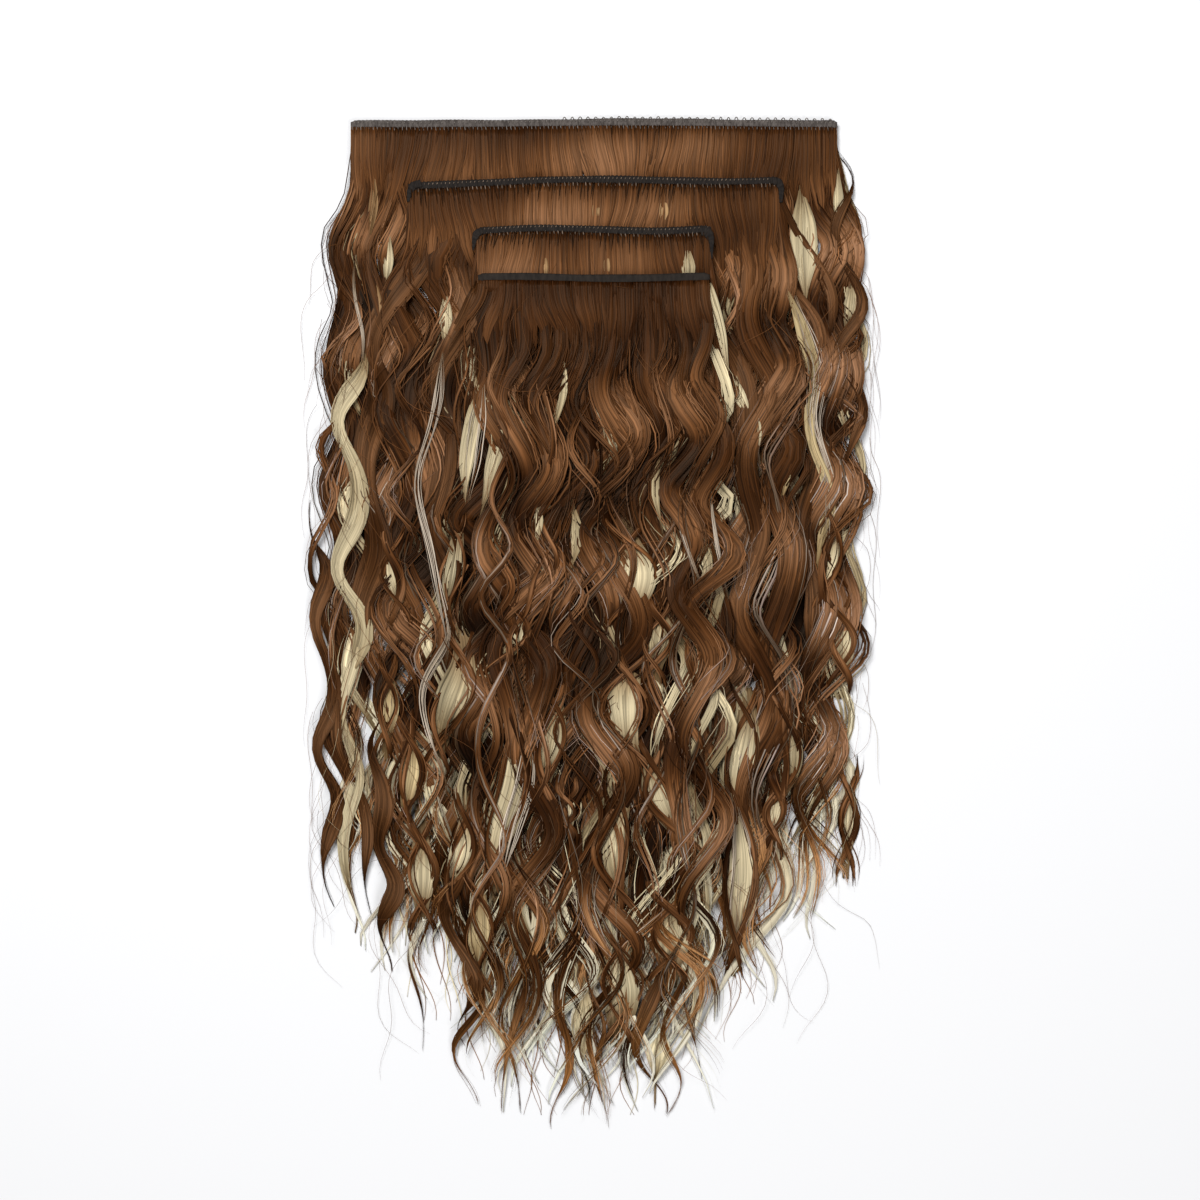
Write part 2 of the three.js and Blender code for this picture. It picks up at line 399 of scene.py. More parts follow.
def wisps_of(weft, strands, kind, count):
    """Pale hair that lies under the tips and reaches out below them."""
    rows = []
    longest = below_track(weft, LOWEST)
    broad = kind == "ribbon"
    for strand in strands:
        for _ in range(count):
            wisp = hair_traits(strand, kind, 0.0)
            wisp["blond"] = 1.0
            wisp["u"] = rng.uniform(-1.0, 1.0) * (4.0 if broad else 6.0) / strand["half"]
            wisp["level"] = rng.uniform(0.0, 0.3)
            wisp["width"] = rng.uniform(3.0, 9.0) if broad else rng.uniform(0.25, 0.7)
            wisp["length"] = min(strand["length"] * rng.uniform(0.97, 1.05), longest - rng.uniform(0.0, 30.0))
            wisp["tone"] = rng.normal(0.0, 0.15)
            rows.append(wisp)
    return table(rows)


# The run of each tress from its root to its tip
ROOT_STEPS = (-2.2, 2.5, 6.5)
FINE_STEPS = 400
CROWDING = 0.5  # how much closer points lie where a wave turns
DRIFT_LENGTH = 280.0
SWELL_LENGTH = 150.0
SWELL_CHANGE = 0.3
MEANDER_LENGTH = 210.0
WANDER_LENGTH = 90.0
BUNCH = 2.6  # spacing of the stitched bunches at a track
BUNCH_PULL = 0.4
BUNCH_END = 14.0
PARTED = 60.0  # from here on a tress runs with its lock and not straight from its root
LEAN_RANGE = (-4.0, 24.0)  # where the roots begin to lean
RIPPLE_END = 48.0  # how far down the hair follows the track's line
CURL_RANGE = (0.86, 1.02)  # the share of the length over which a tip curls
ROOT_LEVEL = 0.55
FAIR_ROOT_LEVEL = 0.15
RISE_LENGTH = 70.0
LAYER_STEP = 0.14
HUMP_STEP = 0.24
HUMP_LIGHT = 0.3  # how much of the light follows a tress's own humps
LOCK_LIGHT = 0.7  # and how much its neighbours' waves
ROLL_SHARE = 0.7  # how much of a lock's turn its ribbons roll with
LEAST_HEIGHT = 0.5


def turning(s, below):
    """How far round its waves each tress is."""
    own = np.maximum(smooth(OWN_START, OWN_FULL, below), s["outer"])
    angle = s["pace"] * wave_angle(below) + s["flock"] * (1.0 - own) + s["own"] * own
    return angle + s["drift"] * waver(below, DRIFT_LENGTH, s["drift_phase"])


def places_along(s, steps):
    """Distances below the track for each tress: a few at the root, then closer at each turn."""
    fine = WAVE_START + (s["length"] - WAVE_START) * shares(FINE_STEPS)
    crowd = (1.0 + CROWDING * np.cos(2.0 * turning(s, fine))) / (PERIOD_AT_ROOT + PERIOD_GROWTH * fine)
    passed = np.cumsum(crowd, axis=1)
    passed = (passed - passed[:, :1]) / (passed[:, -1:] - passed[:, :1])
    share = np.linspace(0.0, 1.0, steps - len(ROOT_STEPS))
    wave = np.array([np.interp(share, row, places) for row, places in zip(passed, fine)])
    root = np.broadcast_to(np.array(ROOT_STEPS)[None, :], (len(wave), len(ROOT_STEPS)))
    return np.concatenate([root, wave], axis=1)


def hang(index, s, steps):
    """Where each tress of a table runs, its colour along the way, its roll and its share of the length."""
    weft = WEFTS[index]
    below = places_along(s, steps)
    share = np.maximum(below, 0.0) / s["length"]
    lock_width = np.interp(share, LOCK_AT, LOCK_WIDTH)
    angle = turning(s, below)
    swell = smooth(WAVE_START, WAVE_FULL, below)
    swing = s["swing"] * swell * (1.0 + SWING_GROWTH * below / HAIR_LENGTH)
    swing = swing * (1.0 + SWELL_CHANGE * waver(below, SWELL_LENGTH, s["swell_phase"]))
    meander = s["meander"] * swell * waver(below, MEANDER_LENGTH, s["meander_phase"])
    wander = s["wander"] * swell * waver(below, WANDER_LENGTH, s["wander_phase"])
    fan = s["across"] * weft["track"] / 2 * np.interp(share, FAN_AT, FAN_WIDTH)
    middle = fan + s["place"] * lock_width + np.interp(share, FAN_AT, FAN_DRIFT)
    middle = middle + meander + wander + swing * np.cos(angle) + s["curl"] * smooth(*CURL_RANGE, share) ** 2
    slope = np.gradient(middle, axis=1) / np.gradient(below, axis=1)
    length = np.sqrt(1.0 + slope * slope)
    turned = s["turn"] * swell * np.sin(angle + s["hump_phase"])
    flat = s["u"] * np.cos(turned) - 0.25 * s["v"] * np.sin(turned)
    aside = flat * s["half"] * lock_width
    parted = smooth(0.0, PARTED, below)
    bunched = np.round(s["root"] / BUNCH) * BUNCH
    root = s["root"] + (bunched - s["root"]) * BUNCH_PULL * (1.0 - smooth(0.0, BUNCH_END, below))
    root = root + s["lean"] * below * smooth(*LEAN_RANGE, below)
    x = root * (1.0 - parted) + (middle + aside / length) * parted
    from_top = weft["down"] + TRACK_HEIGHT + below - aside * slope / length * parted
    stray = ripple(weft, s["root"]) * (1.0 - smooth(0.0, RIPPLE_END, below))
    root_level = np.where(s["blond"] > 0.5, FAIR_ROOT_LEVEL, ROOT_LEVEL)
    level = root_level + (s["level"] - root_level) * smooth(s["rise"], s["rise"] + RISE_LENGTH, below)
    hump = swell * np.sin(angle + s["kink_phase"])
    level = level + s["v"] * LAYER_STEP + s["hump"] * HUMP_STEP * hump
    rolls = turned * ROLL_SHARE + s["roll"]
    tilt = s["u"] * np.sin(turned) * s["half"]
    least = LEAST_HEIGHT + 0.5 * s["width"] * np.abs(np.sin(rolls))
    z = np.maximum(height_at(index, from_top, level) + tilt * 0.5, least)
    light = swell * np.sin(s["pace"] * wave_angle(below) + s["flock"] + s["light_phase"])
    colours = hair_colours(weft, s, below, share, level, LOCK_LIGHT * light + HUMP_LIGHT * hump)
    return placed(x, from_top, z, stray), colours, rolls, share


# Where the colour along a tress changes, and by how much
GREY_RANGE = (90.0, 190.0)
AMBER_RANGE = (0.82, 0.98)
AMBER_SHARE = 0.85
# How far down, and by how much, the top weft's painted highlights are cut back
TOP_HIGHLIGHT_RANGE = (110.0, 200.0)
TOP_HIGHLIGHT_CUT = 0.55
TONE_LENGTH = 70.0
TONE_CHANGE = 0.15
BASE_SHADE = 0.28
LIGHT_GAIN = 1.5  # how much lighter a wave is where it catches the light
GREY_LOSS = 0.7  # and how much less of that grey hair has
# Painted shade by how deep hair lies in its weft
DEPTH_SHADE_LIGHT = (0.08, 1.02)  # the least light and what a level adds
FAIR_EVENNESS = 0.6


def root_shade(weft, below):
    """The shadow on the roots."""
    return weft["root_shade"] + (1.0 - weft["root_shade"]) * smooth(0.0, weft["root_reach"], below)


def hair_colours(weft, s, below, share, level, light):
    """Colour along each tress, with painted shade deep down and painted light where a wave catches it."""
    fair = s["blond"][..., None]
    grey = (s["grey"] * smooth(*GREY_RANGE, below))[..., None]
    brown = BROWN + (AMBER - BROWN) * (AMBER_SHARE * smooth(*AMBER_RANGE, share))[..., None]
    colour = brown * (1.0 - fair) + BLOND * fair
    colour = colour + (GREY - colour) * grey
    gain = LIGHT_GAIN - GREY_LOSS * s["grey"]
    tone = s["tone"] + gain * light + 0.05 * light * light - BASE_SHADE - weft["shade"]
    # The painted highlights are weaker on the top weft's upper hair
    if weft["name"] == TOP_WEFT:
        tone = tone - TOP_HIGHLIGHT_CUT * np.maximum(light, 0.0) * (1.0 - smooth(*TOP_HIGHLIGHT_RANGE, below))
    tone = tone + TONE_CHANGE * waver(below, TONE_LENGTH, s["wander_phase"])
    tone = tone * (1.0 - FAIR_EVENNESS * s["blond"])
    # Painted shade: hair that lies lower in a weft is darker, fair hair less so
    depth_shade = DEPTH_SHADE_LIGHT[0] + DEPTH_SHADE_LIGHT[1] * np.clip(level, 0.0, 1.0)
    depth_shade = depth_shade + (1.0 - depth_shade) * 0.5 * s["blond"]
    tone = tone + np.log(depth_shade * root_shade(weft, below))
    colour = toned(colour, tone, np.maximum(s["blond"], s["grey"]))
    return with_streaks(colour, (1.0 - 0.3 * s["blond"])[..., None])


def loft(name, rings, material):
    """Closed tubes joined into one piece. rings is tubes by stations by corners by 3, in millimetres."""
    count, steps, corners, _ = rings.shape
    first = (np.arange(count)[:, None] * steps + np.arange(steps - 1)[None, :]) * corners
    quads = []
    for k in range(corners):
        n = (k + 1) % corners
        quads.append(np.stack([first + n, first + k, first + corners + k, first + corners + n], axis=2))
    quads = np.stack(quads, axis=2)
    start = np.arange(count)[:, None] * steps * corners + np.arange(corners)[None, :]
    end = start[:, ::-1] + (steps - 1) * corners
    caps = np.concatenate([start, end])
    mesh = bpy.data.meshes.new(name)
    mesh.vertices.add(count * steps * corners)
    mesh.vertices.foreach_set("co", (rings * MM).astype(np.float32).ravel())
    joined = np.concatenate([quads.ravel(), caps.ravel()]).astype(np.int32)
    mesh.loops.add(len(joined))
    mesh.loops.foreach_set("vertex_index", joined)
    sides = count * (steps - 1) * corners
    starts = np.concatenate([np.arange(sides) * 4, sides * 4 + np.arange(len(caps)) * corners])
    mesh.polygons.add(len(starts))
    mesh.polygons.foreach_set("loop_start", starts.astype(np.int32))
    mesh.polygons.foreach_set("use_smooth", np.ones(len(starts), bool))
    mesh.update(calc_edges=True)
    mesh.materials.append(material)
    piece = bpy.data.objects.new(name, mesh)
    bpy.context.collection.objects.link(piece)
    return piece


# Sections of hair, in widths: across, up and the painted shade there, darker at the edges than on top
TRESS_RING = ((-0.5, 0.0, 0.72), (0.5, 0.0, 0.72), (0.0, 0.24, 1.1))
RIBBON_RING = ((-0.5, 0.0, 0.72), (0.5, 0.0, 0.72), (0.2, 0.07, 1.06), (-0.2, 0.07, 1.06))
ROOT_RING = ((-0.5, 0.0, 0.97), (0.5, 0.0, 0.97), (0.2, 0.02, 1.02), (-0.2, 0.02, 1.02))

# Maps on the hair: a face's corners as steps round and along a tube, and the size and margins of each map
FACE_CORNERS = ((1, 0), (0, 0), (0, 1), (1, 1))
FIBRE_SCALE = 0.01
FIBRE_SHIFT = 17.3  # sets each tube's streaks apart from its neighbours'
STRIP_ROWS = 2
STRIP_ACROSS = (0.08, 0.84)
STRIP_ALONG = (0.02, 0.96)
CAP_SIZE = (0.03, 0.004)
CAP_PLACES = (0.01, 0.99)


def directions(paths):
    """The direction along each path."""
    along = np.gradient(paths, axis=1)
    return along / np.linalg.norm(along, axis=2, keepdims=True)


def sides_and_tops(along, up):
    """Directions across the paths, level and upright."""
    side = np.cross(along, up)
    side = side / np.linalg.norm(side, axis=2, keepdims=True)
    return side, np.cross(side, along)


def hair_mesh(name, ring, paths, widths, rolls, colours, material):
    """Closed tubes of hair joined into one mesh. paths is tubes by points by 3, in millimetres."""
    count, steps, _ = paths.shape
    corners = len(ring)
    side, top = sides_and_tops(directions(paths), UP)
    cosine, sine = np.cos(rolls)[..., None], np.sin(rolls)[..., None]
    side, top = side * cosine + top * sine, top * cosine - side * sine
    rings = [paths + widths[..., None] * (x * side + y * top) for x, y, light in ring]
    piece = loft(name, np.stack(rings, axis=2), material)
    mesh = piece.data
    sharpen_underside(mesh, corners)
    tints = np.repeat(colours[:, :, None, :], corners, axis=2)
    # Painted shade: each tube is darker along its edges and lighter along its top
    edge_shade = np.array([light for x, y, light in ring]) - 1.0
    tints[..., :3] *= (1.0 + edge_shade * tints[..., 3])[..., None]
    attribute = mesh.color_attributes.new("hair_colour", "FLOAT_COLOR", "POINT")
    attribute.data.foreach_set("color", tints.astype(np.float32).ravel())
    add_fibre_map(mesh, ring, paths, widths)
    add_bake_map(mesh, count, steps, corners)
    return piece


def sharpen_underside(mesh, corners):
    """The flat underside, between the first two corners, is shaded apart from the upper side."""
    ends = np.zeros(len(mesh.edges) * 2, np.int32)
    mesh.edges.foreach_get("vertices", ends)
    ends = np.sort(ends.reshape(-1, 2), axis=1)
    lengthwise = ends[:, 1] - ends[:, 0] == corners
    mesh.edges.foreach_set("use_edge_sharp", lengthwise & (ends[:, 0] % corners < 2))


def add_map(mesh, name, sides, caps):
    """A map of the tubes' sides and then of their ends."""
    layer = mesh.uv_layers.new(name=name)
    flat = np.concatenate([sides.reshape(-1, 2), caps.reshape(-1, 2)])
    layer.uv.foreach_set("vector", flat.astype(np.float32).ravel())


def add_fibre_map(mesh, ring, paths, widths):
    """A map in true size, across and along each tube, for its streaks."""
    count, steps, _ = paths.shape
    corners = len(ring)
    lengths = np.linalg.norm(np.diff(paths, axis=1), axis=2)
    travelled = np.concatenate([np.zeros((count, 1)), np.cumsum(lengths, axis=1)], axis=1)
    widest = widths.max(axis=1)
    shift = np.arange(count) * FIBRE_SHIFT
    section = np.array(ring)[:, :2]
    edges = np.linalg.norm(np.roll(section, -1, axis=0) - section, axis=1)
    round_at = np.concatenate([[0.0], np.cumsum(edges)])
    uv = np.zeros((count, steps - 1, corners, len(FACE_CORNERS), 2))
    for k in range(corners):
        for corner, (edge, step) in enumerate(FACE_CORNERS):
            uv[:, :, k, corner, 0] = (shift + widest * round_at[k + edge])[:, None]
            uv[:, :, k, corner, 1] = travelled[:, step:steps - 1 + step]
    add_map(mesh, "fibre_lie", uv * FIBRE_SCALE, np.zeros((2, count, corners, 2)))


def add_bake_map(mesh, count, steps, corners):
    """A second map with a strip for each tube, side by side in rows."""
    columns = (count + 1) // STRIP_ROWS
    tube = np.arange(count)
    u = (tube % columns)[:, None, None]
    v = (tube // columns)[:, None, None]
    uv = np.zeros((count, steps - 1, corners, len(FACE_CORNERS), 2))
    around = np.arange(corners)[None, None, :]
    along = np.arange(steps - 1)[None, :, None]
    for corner, (edge, step) in enumerate(FACE_CORNERS):
        across = STRIP_ACROSS[0] + STRIP_ACROSS[1] * (around + edge) / corners
        uv[..., corner, 0] = (u + across) / columns
        uv[..., corner, 1] = (v + STRIP_ALONG[0] + STRIP_ALONG[1] * (along + step) / (steps - 1)) / STRIP_ROWS
    turns = np.arange(corners) / corners * TURN
    caps = np.zeros((2, count, corners, 2))
    for end, height in enumerate(CAP_PLACES):
        caps[end, ..., 0] = (u[..., 0] + 0.5 + CAP_SIZE[0] * np.cos(turns)) / columns
        caps[end, ..., 1] = (v[..., 0] + height + CAP_SIZE[1] * np.sin(turns)) / STRIP_ROWS
    add_map(mesh, "OFBake", uv, caps)


# Materials
BUMP_DISTANCE = 0.0004
HAIR_SHEEN = (1.0, 0.7, 0.48, 1.0)
HAIR_STREAKS = ((135.0, 1.5), (55.0, 0.8))  # fine and coarse, across and along
STREAK_STRENGTH = 2.0
DARKEST_STREAK = 0.3


def new_material(name, roughness):
    """A material, its node tree and its Principled shader."""
    material = bpy.data.materials.new(name)
    material.use_nodes = True
    shader = material.node_tree.nodes["Principled BSDF"]
    shader.inputs["Roughness"].default_value = roughness
    return material, material.node_tree, shader


def add_node(tree, kind, inputs, **settings):
    """A node whose inputs are constants or other nodes' outputs."""
    made = tree.nodes.new(f"ShaderNode{kind}")
    for name, value in settings.items():
        setattr(made, name, value)
    for name, value in inputs.items():
        if isinstance(value, bpy.types.NodeSocket):
            tree.links.new(value, made.inputs[name])
        else:
            made.inputs[name].default_value = value
    return made


def add_math(tree, operation, *values):
    return add_node(tree, "Math", dict(enumerate(values)), operation=operation).outputs["Value"]


def add_noise(tree, place, scale, detail, dimensions):
    """Noise that is stretched by a scale."""
    stretch = add_node(tree, "Mapping", {"Vector": place, "Scale": scale})
    inputs = {"Vector": stretch.outputs["Vector"], "Scale": 1.0, "Detail": detail}
    return add_node(tree, "TexNoise", inputs, noise_dimensions=dimensions).outputs["Fac"]


def add_bump(tree, shader, height, strength):
    bump = add_node(tree, "Bump", {"Strength": strength, "Distance": BUMP_DISTANCE, "Height": height})
    tree.links.new(bump.outputs["Normal"], shader.inputs["Normal"])


def hair_material():
    """Fine streaks along each tress, coarse ones under them, and a soft sheen."""
    material, tree, shader = new_material("hair_fibre", 0.38)
    shader.inputs["Specular IOR Level"].default_value = 0.06
    shader.inputs["Specular Tint"].default_value = HAIR_SHEEN
    tint = add_node(tree, "Attribute", {}, attribute_name="hair_colour")
    lie = add_node(tree, "UVMap", {}, uv_map="fibre_lie").outputs["UV"]
    streaks = [add_noise(tree, lie, (wide, long, 1.0), 1.5, "2D") for wide, long in HAIR_STREAKS]
    both = add_math(tree, "ADD", *streaks)
    strong = add_math(tree, "MULTIPLY", add_math(tree, "SUBTRACT", both, 1.0), tint.outputs["Alpha"])
    factor = add_math(tree, "MULTIPLY_ADD", strong, STREAK_STRENGTH, 1.0)
    factor = add_math(tree, "MAXIMUM", factor, DARKEST_STREAK)
    shade = add_node(tree, "VectorMath", {0: tint.outputs["Color"], "Scale": factor}, operation="SCALE")
    tree.links.new(shade.outputs["Vector"], shader.inputs["Base Color"])
    add_bump(tree, shader, both, 0.4)
    return material


hair_finish = hair_material()
SIDE_LIMIT = 160.0  # past this, hair at the sides is drawn in halfway


def add_hair(name, weft, ring, paths, widths, colours, rolls=None):
    """One piece of hair that stands for a weft's solid with the others."""
    node = f"hair_{weft['name']}"
    over = np.maximum(np.abs(paths[..., 0]) - SIDE_LIMIT, 0.0)
    paths[..., 0] = paths[..., 0] - np.sign(paths[..., 0]) * over * 0.5
    rolls = np.zeros_like(widths) if rolls is None else rolls
    piece = hair_mesh(f"{node}_{name}", ring, paths, widths, rolls, colours, hair_finish)
    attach(piece, "root")
    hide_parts(node)


# The curtain of each weft, and the wisps that reach out of its tips
WISPS = (("ribbon", RIBBON_RING, 1), ("tress", TRESS_RING, 4))
WISP_POINTS = 56
WISP_STEPS = 17  # the last points, which are the ones that are seen
WISP_AT = (0.0, 0.25, 0.6, 1.0)
WISP_WIDTH = (0.1, 1.0, 0.8, 0.06)
WISP_STREAKS = 0.45


def add_curtain(index, strands):
    weft = WEFTS[index]
    for kind, points in POINTS.items():
        hair = hair_of(strands, kind)
        paths, colours, rolls, share = hang(index, hair, round(points * weft["detail"]))
        narrow = (RIBBON_AT, RIBBON_WIDTH) if kind == "ribbon" else (TRESS_AT, TRESS_WIDTH)
        widths = hair["width"] * np.interp(share, *narrow)
        add_hair(kind, weft, RIBBON_RING if kind == "ribbon" else TRESS_RING, paths, widths, colours, rolls)


def add_wisps(index, strands):
    weft = WEFTS[index]
    tail = slice(-WISP_STEPS, None)
    along = np.linspace(0.0, 1.0, WISP_STEPS)
    for kind, ring, count in WISPS:
        wisps = wisps_of(weft, strands, kind, count)
        paths, colours, rolls, _ = hang(index, wisps, WISP_POINTS)
        widths = wisps["width"] * np.interp(along, WISP_AT, WISP_WIDTH)
        fading = PALE + (CREAM - PALE) * (along**1.5)[:, None]
        colours[:, tail, :3] = toned(fading, 0.6 * wisps["tone"] + 0.25 * along - 0.25, 1.0)
        colours[..., 3] = WISP_STREAKS
        add_hair(f"{kind}_wisps", weft, ring, paths[:, tail], widths, colours[:, tail], rolls[:, tail])


for index in range(len(WEFTS)):
    strands = strands_of(index)
    add_curtain(index, strands)
    add_wisps(index, strands)

# Brushed hair that covers the roots below each track: broad sheets, then fine hair over them
ROOT_START = -2.2
ROOT_POINTS = 11
ROOT_SPACING = {"sheet": 5.0, "tress": 1.5}
ROOT_SWAY = 1.2
ROOT_SWAY_RANGE = (5.0, 40.0)
ROOT_SWAY_LENGTH = 52.0
# Painted light in soft bands down the roots: how strong and how long
ROOT_LIGHT = 0.3
ROOT_LIGHT_LENGTH = 45.0
ROOT_LENGTHS = (34.0, 62.0)
TOP_ROOT_LENGTHS = (8.0, 46.0)
# Painted shade towards the ends of the roots' hair, from these shares of its length
ROOT_END_SHADE = (0.65, 1.0)
TOP_ROOT_END_SHADE = (0.3, 1.0)
ROOT_AT = (0.0, 0.1, 0.45, 1.0)
ROOT_WIDTH = (0.9, 1.0, 0.9, 0.04)
ROOT_TONES = ((0.36, 31.0, 1.0), (0.26, 11.0, 2.0))
UPRIGHT_EDGE = 22.0  # near its ends a covered weft's roots don't lean
GAP_SPACING = 1.5
GAP_POINTS = 6
GAP_START = -2.5


def add_roots(index, kind):
    """The brushed hair of one kind below a track."""
    weft = WEFTS[index]
    sheet = kind == "sheet"
    on_top = weft["name"] == TOP_WEFT
    count = round(weft["track"] / ROOT_SPACING[kind])
    edge = weft["track"] / 2 - (3.0 if sheet else 1.0)
    root = np.linspace(-edge, edge, count)[:, None] + column(-0.6, 0.6, count)
    length = column(*(TOP_ROOT_LENGTHS if on_top else ROOT_LENGTHS), count)
    lean = root_lean(weft, root) + scatter(0.01 if sheet else 0.035, count)
    if not on_top:
        lean = lean * (1.0 - smooth(edge - UPRIGHT_EDGE, edge, np.abs(root)))
    share = shares(ROOT_POINTS)
    below = share * length + ROOT_START
    x = root + lean * below * smooth(*LEAN_RANGE, below)
    x = x + ROOT_SWAY * smooth(*ROOT_SWAY_RANGE, below) * waver(below, ROOT_SWAY_LENGTH, root / 15.0)
    from_top = weft["down"] + TRACK_HEIGHT + below
    level = column(0.82, 0.92, count) if sheet else column(0.9, 1.02, count)
    level = level - 0.25 * smooth(0.5, 1.0, share)
    stray = ripple(weft, root) * (1.0 - smooth(0.0, RIPPLE_END, below))
    paths = placed(x, from_top, height_at(index, from_top, level), stray)
    wide = column(8.0, 14.0, count) if sheet else column(0.35, 1.1, count)
    wide = np.minimum(wide, 2.0 * (edge + 3.0 - np.abs(root)))
    widths = wide * np.interp(share, ROOT_AT, ROOT_WIDTH)
    tone = scatter(0.05 if sheet else 0.22, count) - weft["shade"]
    # Painted light in soft bands down the roots
    tone = tone + ROOT_LIGHT * waver(below, ROOT_LIGHT_LENGTH, root / 40.0 - 0.8) - 0.03
    tone = tone + waves_across(ROOT_TONES, weft, root)
    # Painted shade towards the ends, where the hair sinks into the curtain
    tone = tone - 0.5 * smooth(*(TOP_ROOT_END_SHADE if on_top else ROOT_END_SHADE), share)
    colours = with_streaks(toned(BROWN, tone + np.log(root_shade(weft, below))), 0.9)
    ring = ROOT_RING if sheet else TRESS_RING
    add_hair(f"root_{kind}", weft, ring, paths, widths, colours)


def add_root_gaps(index):
    """Thin dark tubes between the bunches sewn to a track, as painted shade in the dark spaces between them.
    """
    weft = WEFTS[index]
    edge = weft["track"] / 2 - 2.0
    root = np.arange(-edge, edge, GAP_SPACING)[:, None]
    count = len(root)
    root = root + column(-0.5, 0.5, count)
    share = shares(GAP_POINTS)
    below = share * (4.0 + 8.0 * rng.random((count, 1)) ** 1.5)
    from_top = weft["down"] + TRACK_HEIGHT + below + GAP_START
    x = root + (root_lean(weft, root) + scatter(0.06, count)) * below
    paths = placed(x, from_top, height_at(index, from_top, 1.2), ripple(weft, root))
    stout = 0.45 if weft["name"] == LOWEST_WEFT else 1.0
    narrow = np.interp(share, (0.0, 0.5, 1.0), (1.0, 0.7, 0.05))
    widths = stout * column(0.4, 0.95, count) * narrow
    colours = with_streaks(np.broadcast_to(GAP_SHADE_COLOUR, (*widths.shape, 3)), 1.0)
    add_hair("gaps", weft, TRESS_RING, paths, widths, colours)


for index, weft in enumerate(WEFTS):
    add_roots(index, "sheet")
    add_roots(index, "tress")
    if weft["name"] != TOP_WEFT:
        add_root_gaps(index)

SIDE_MARGIN = 4.0
SIDE_SLOPE = 8.0


def hair_top(x, from_top):
    """About how high the hair stands at a place, with x from the middle of the tracks."""
    height = np.zeros_like(from_top)
    for weft in WEFTS:
        below = below_track(weft, from_top)
        share = below / HAIR_LENGTH
        half = weft["track"] / 2 * np.interp(share, FAN_AT, FAN_WIDTH) + SIDE_MARGIN
        off = np.abs(x - np.interp(share, FAN_AT, FAN_DRIFT))
        cover = 1.0 - smooth(half - SIDE_MARGIN, half + SIDE_SLOPE, off)
        own = (lift(weft, from_top) + depth(weft, from_top)) * smooth(-2.0, 2.0, below)
        height = height + own * cover
    return height


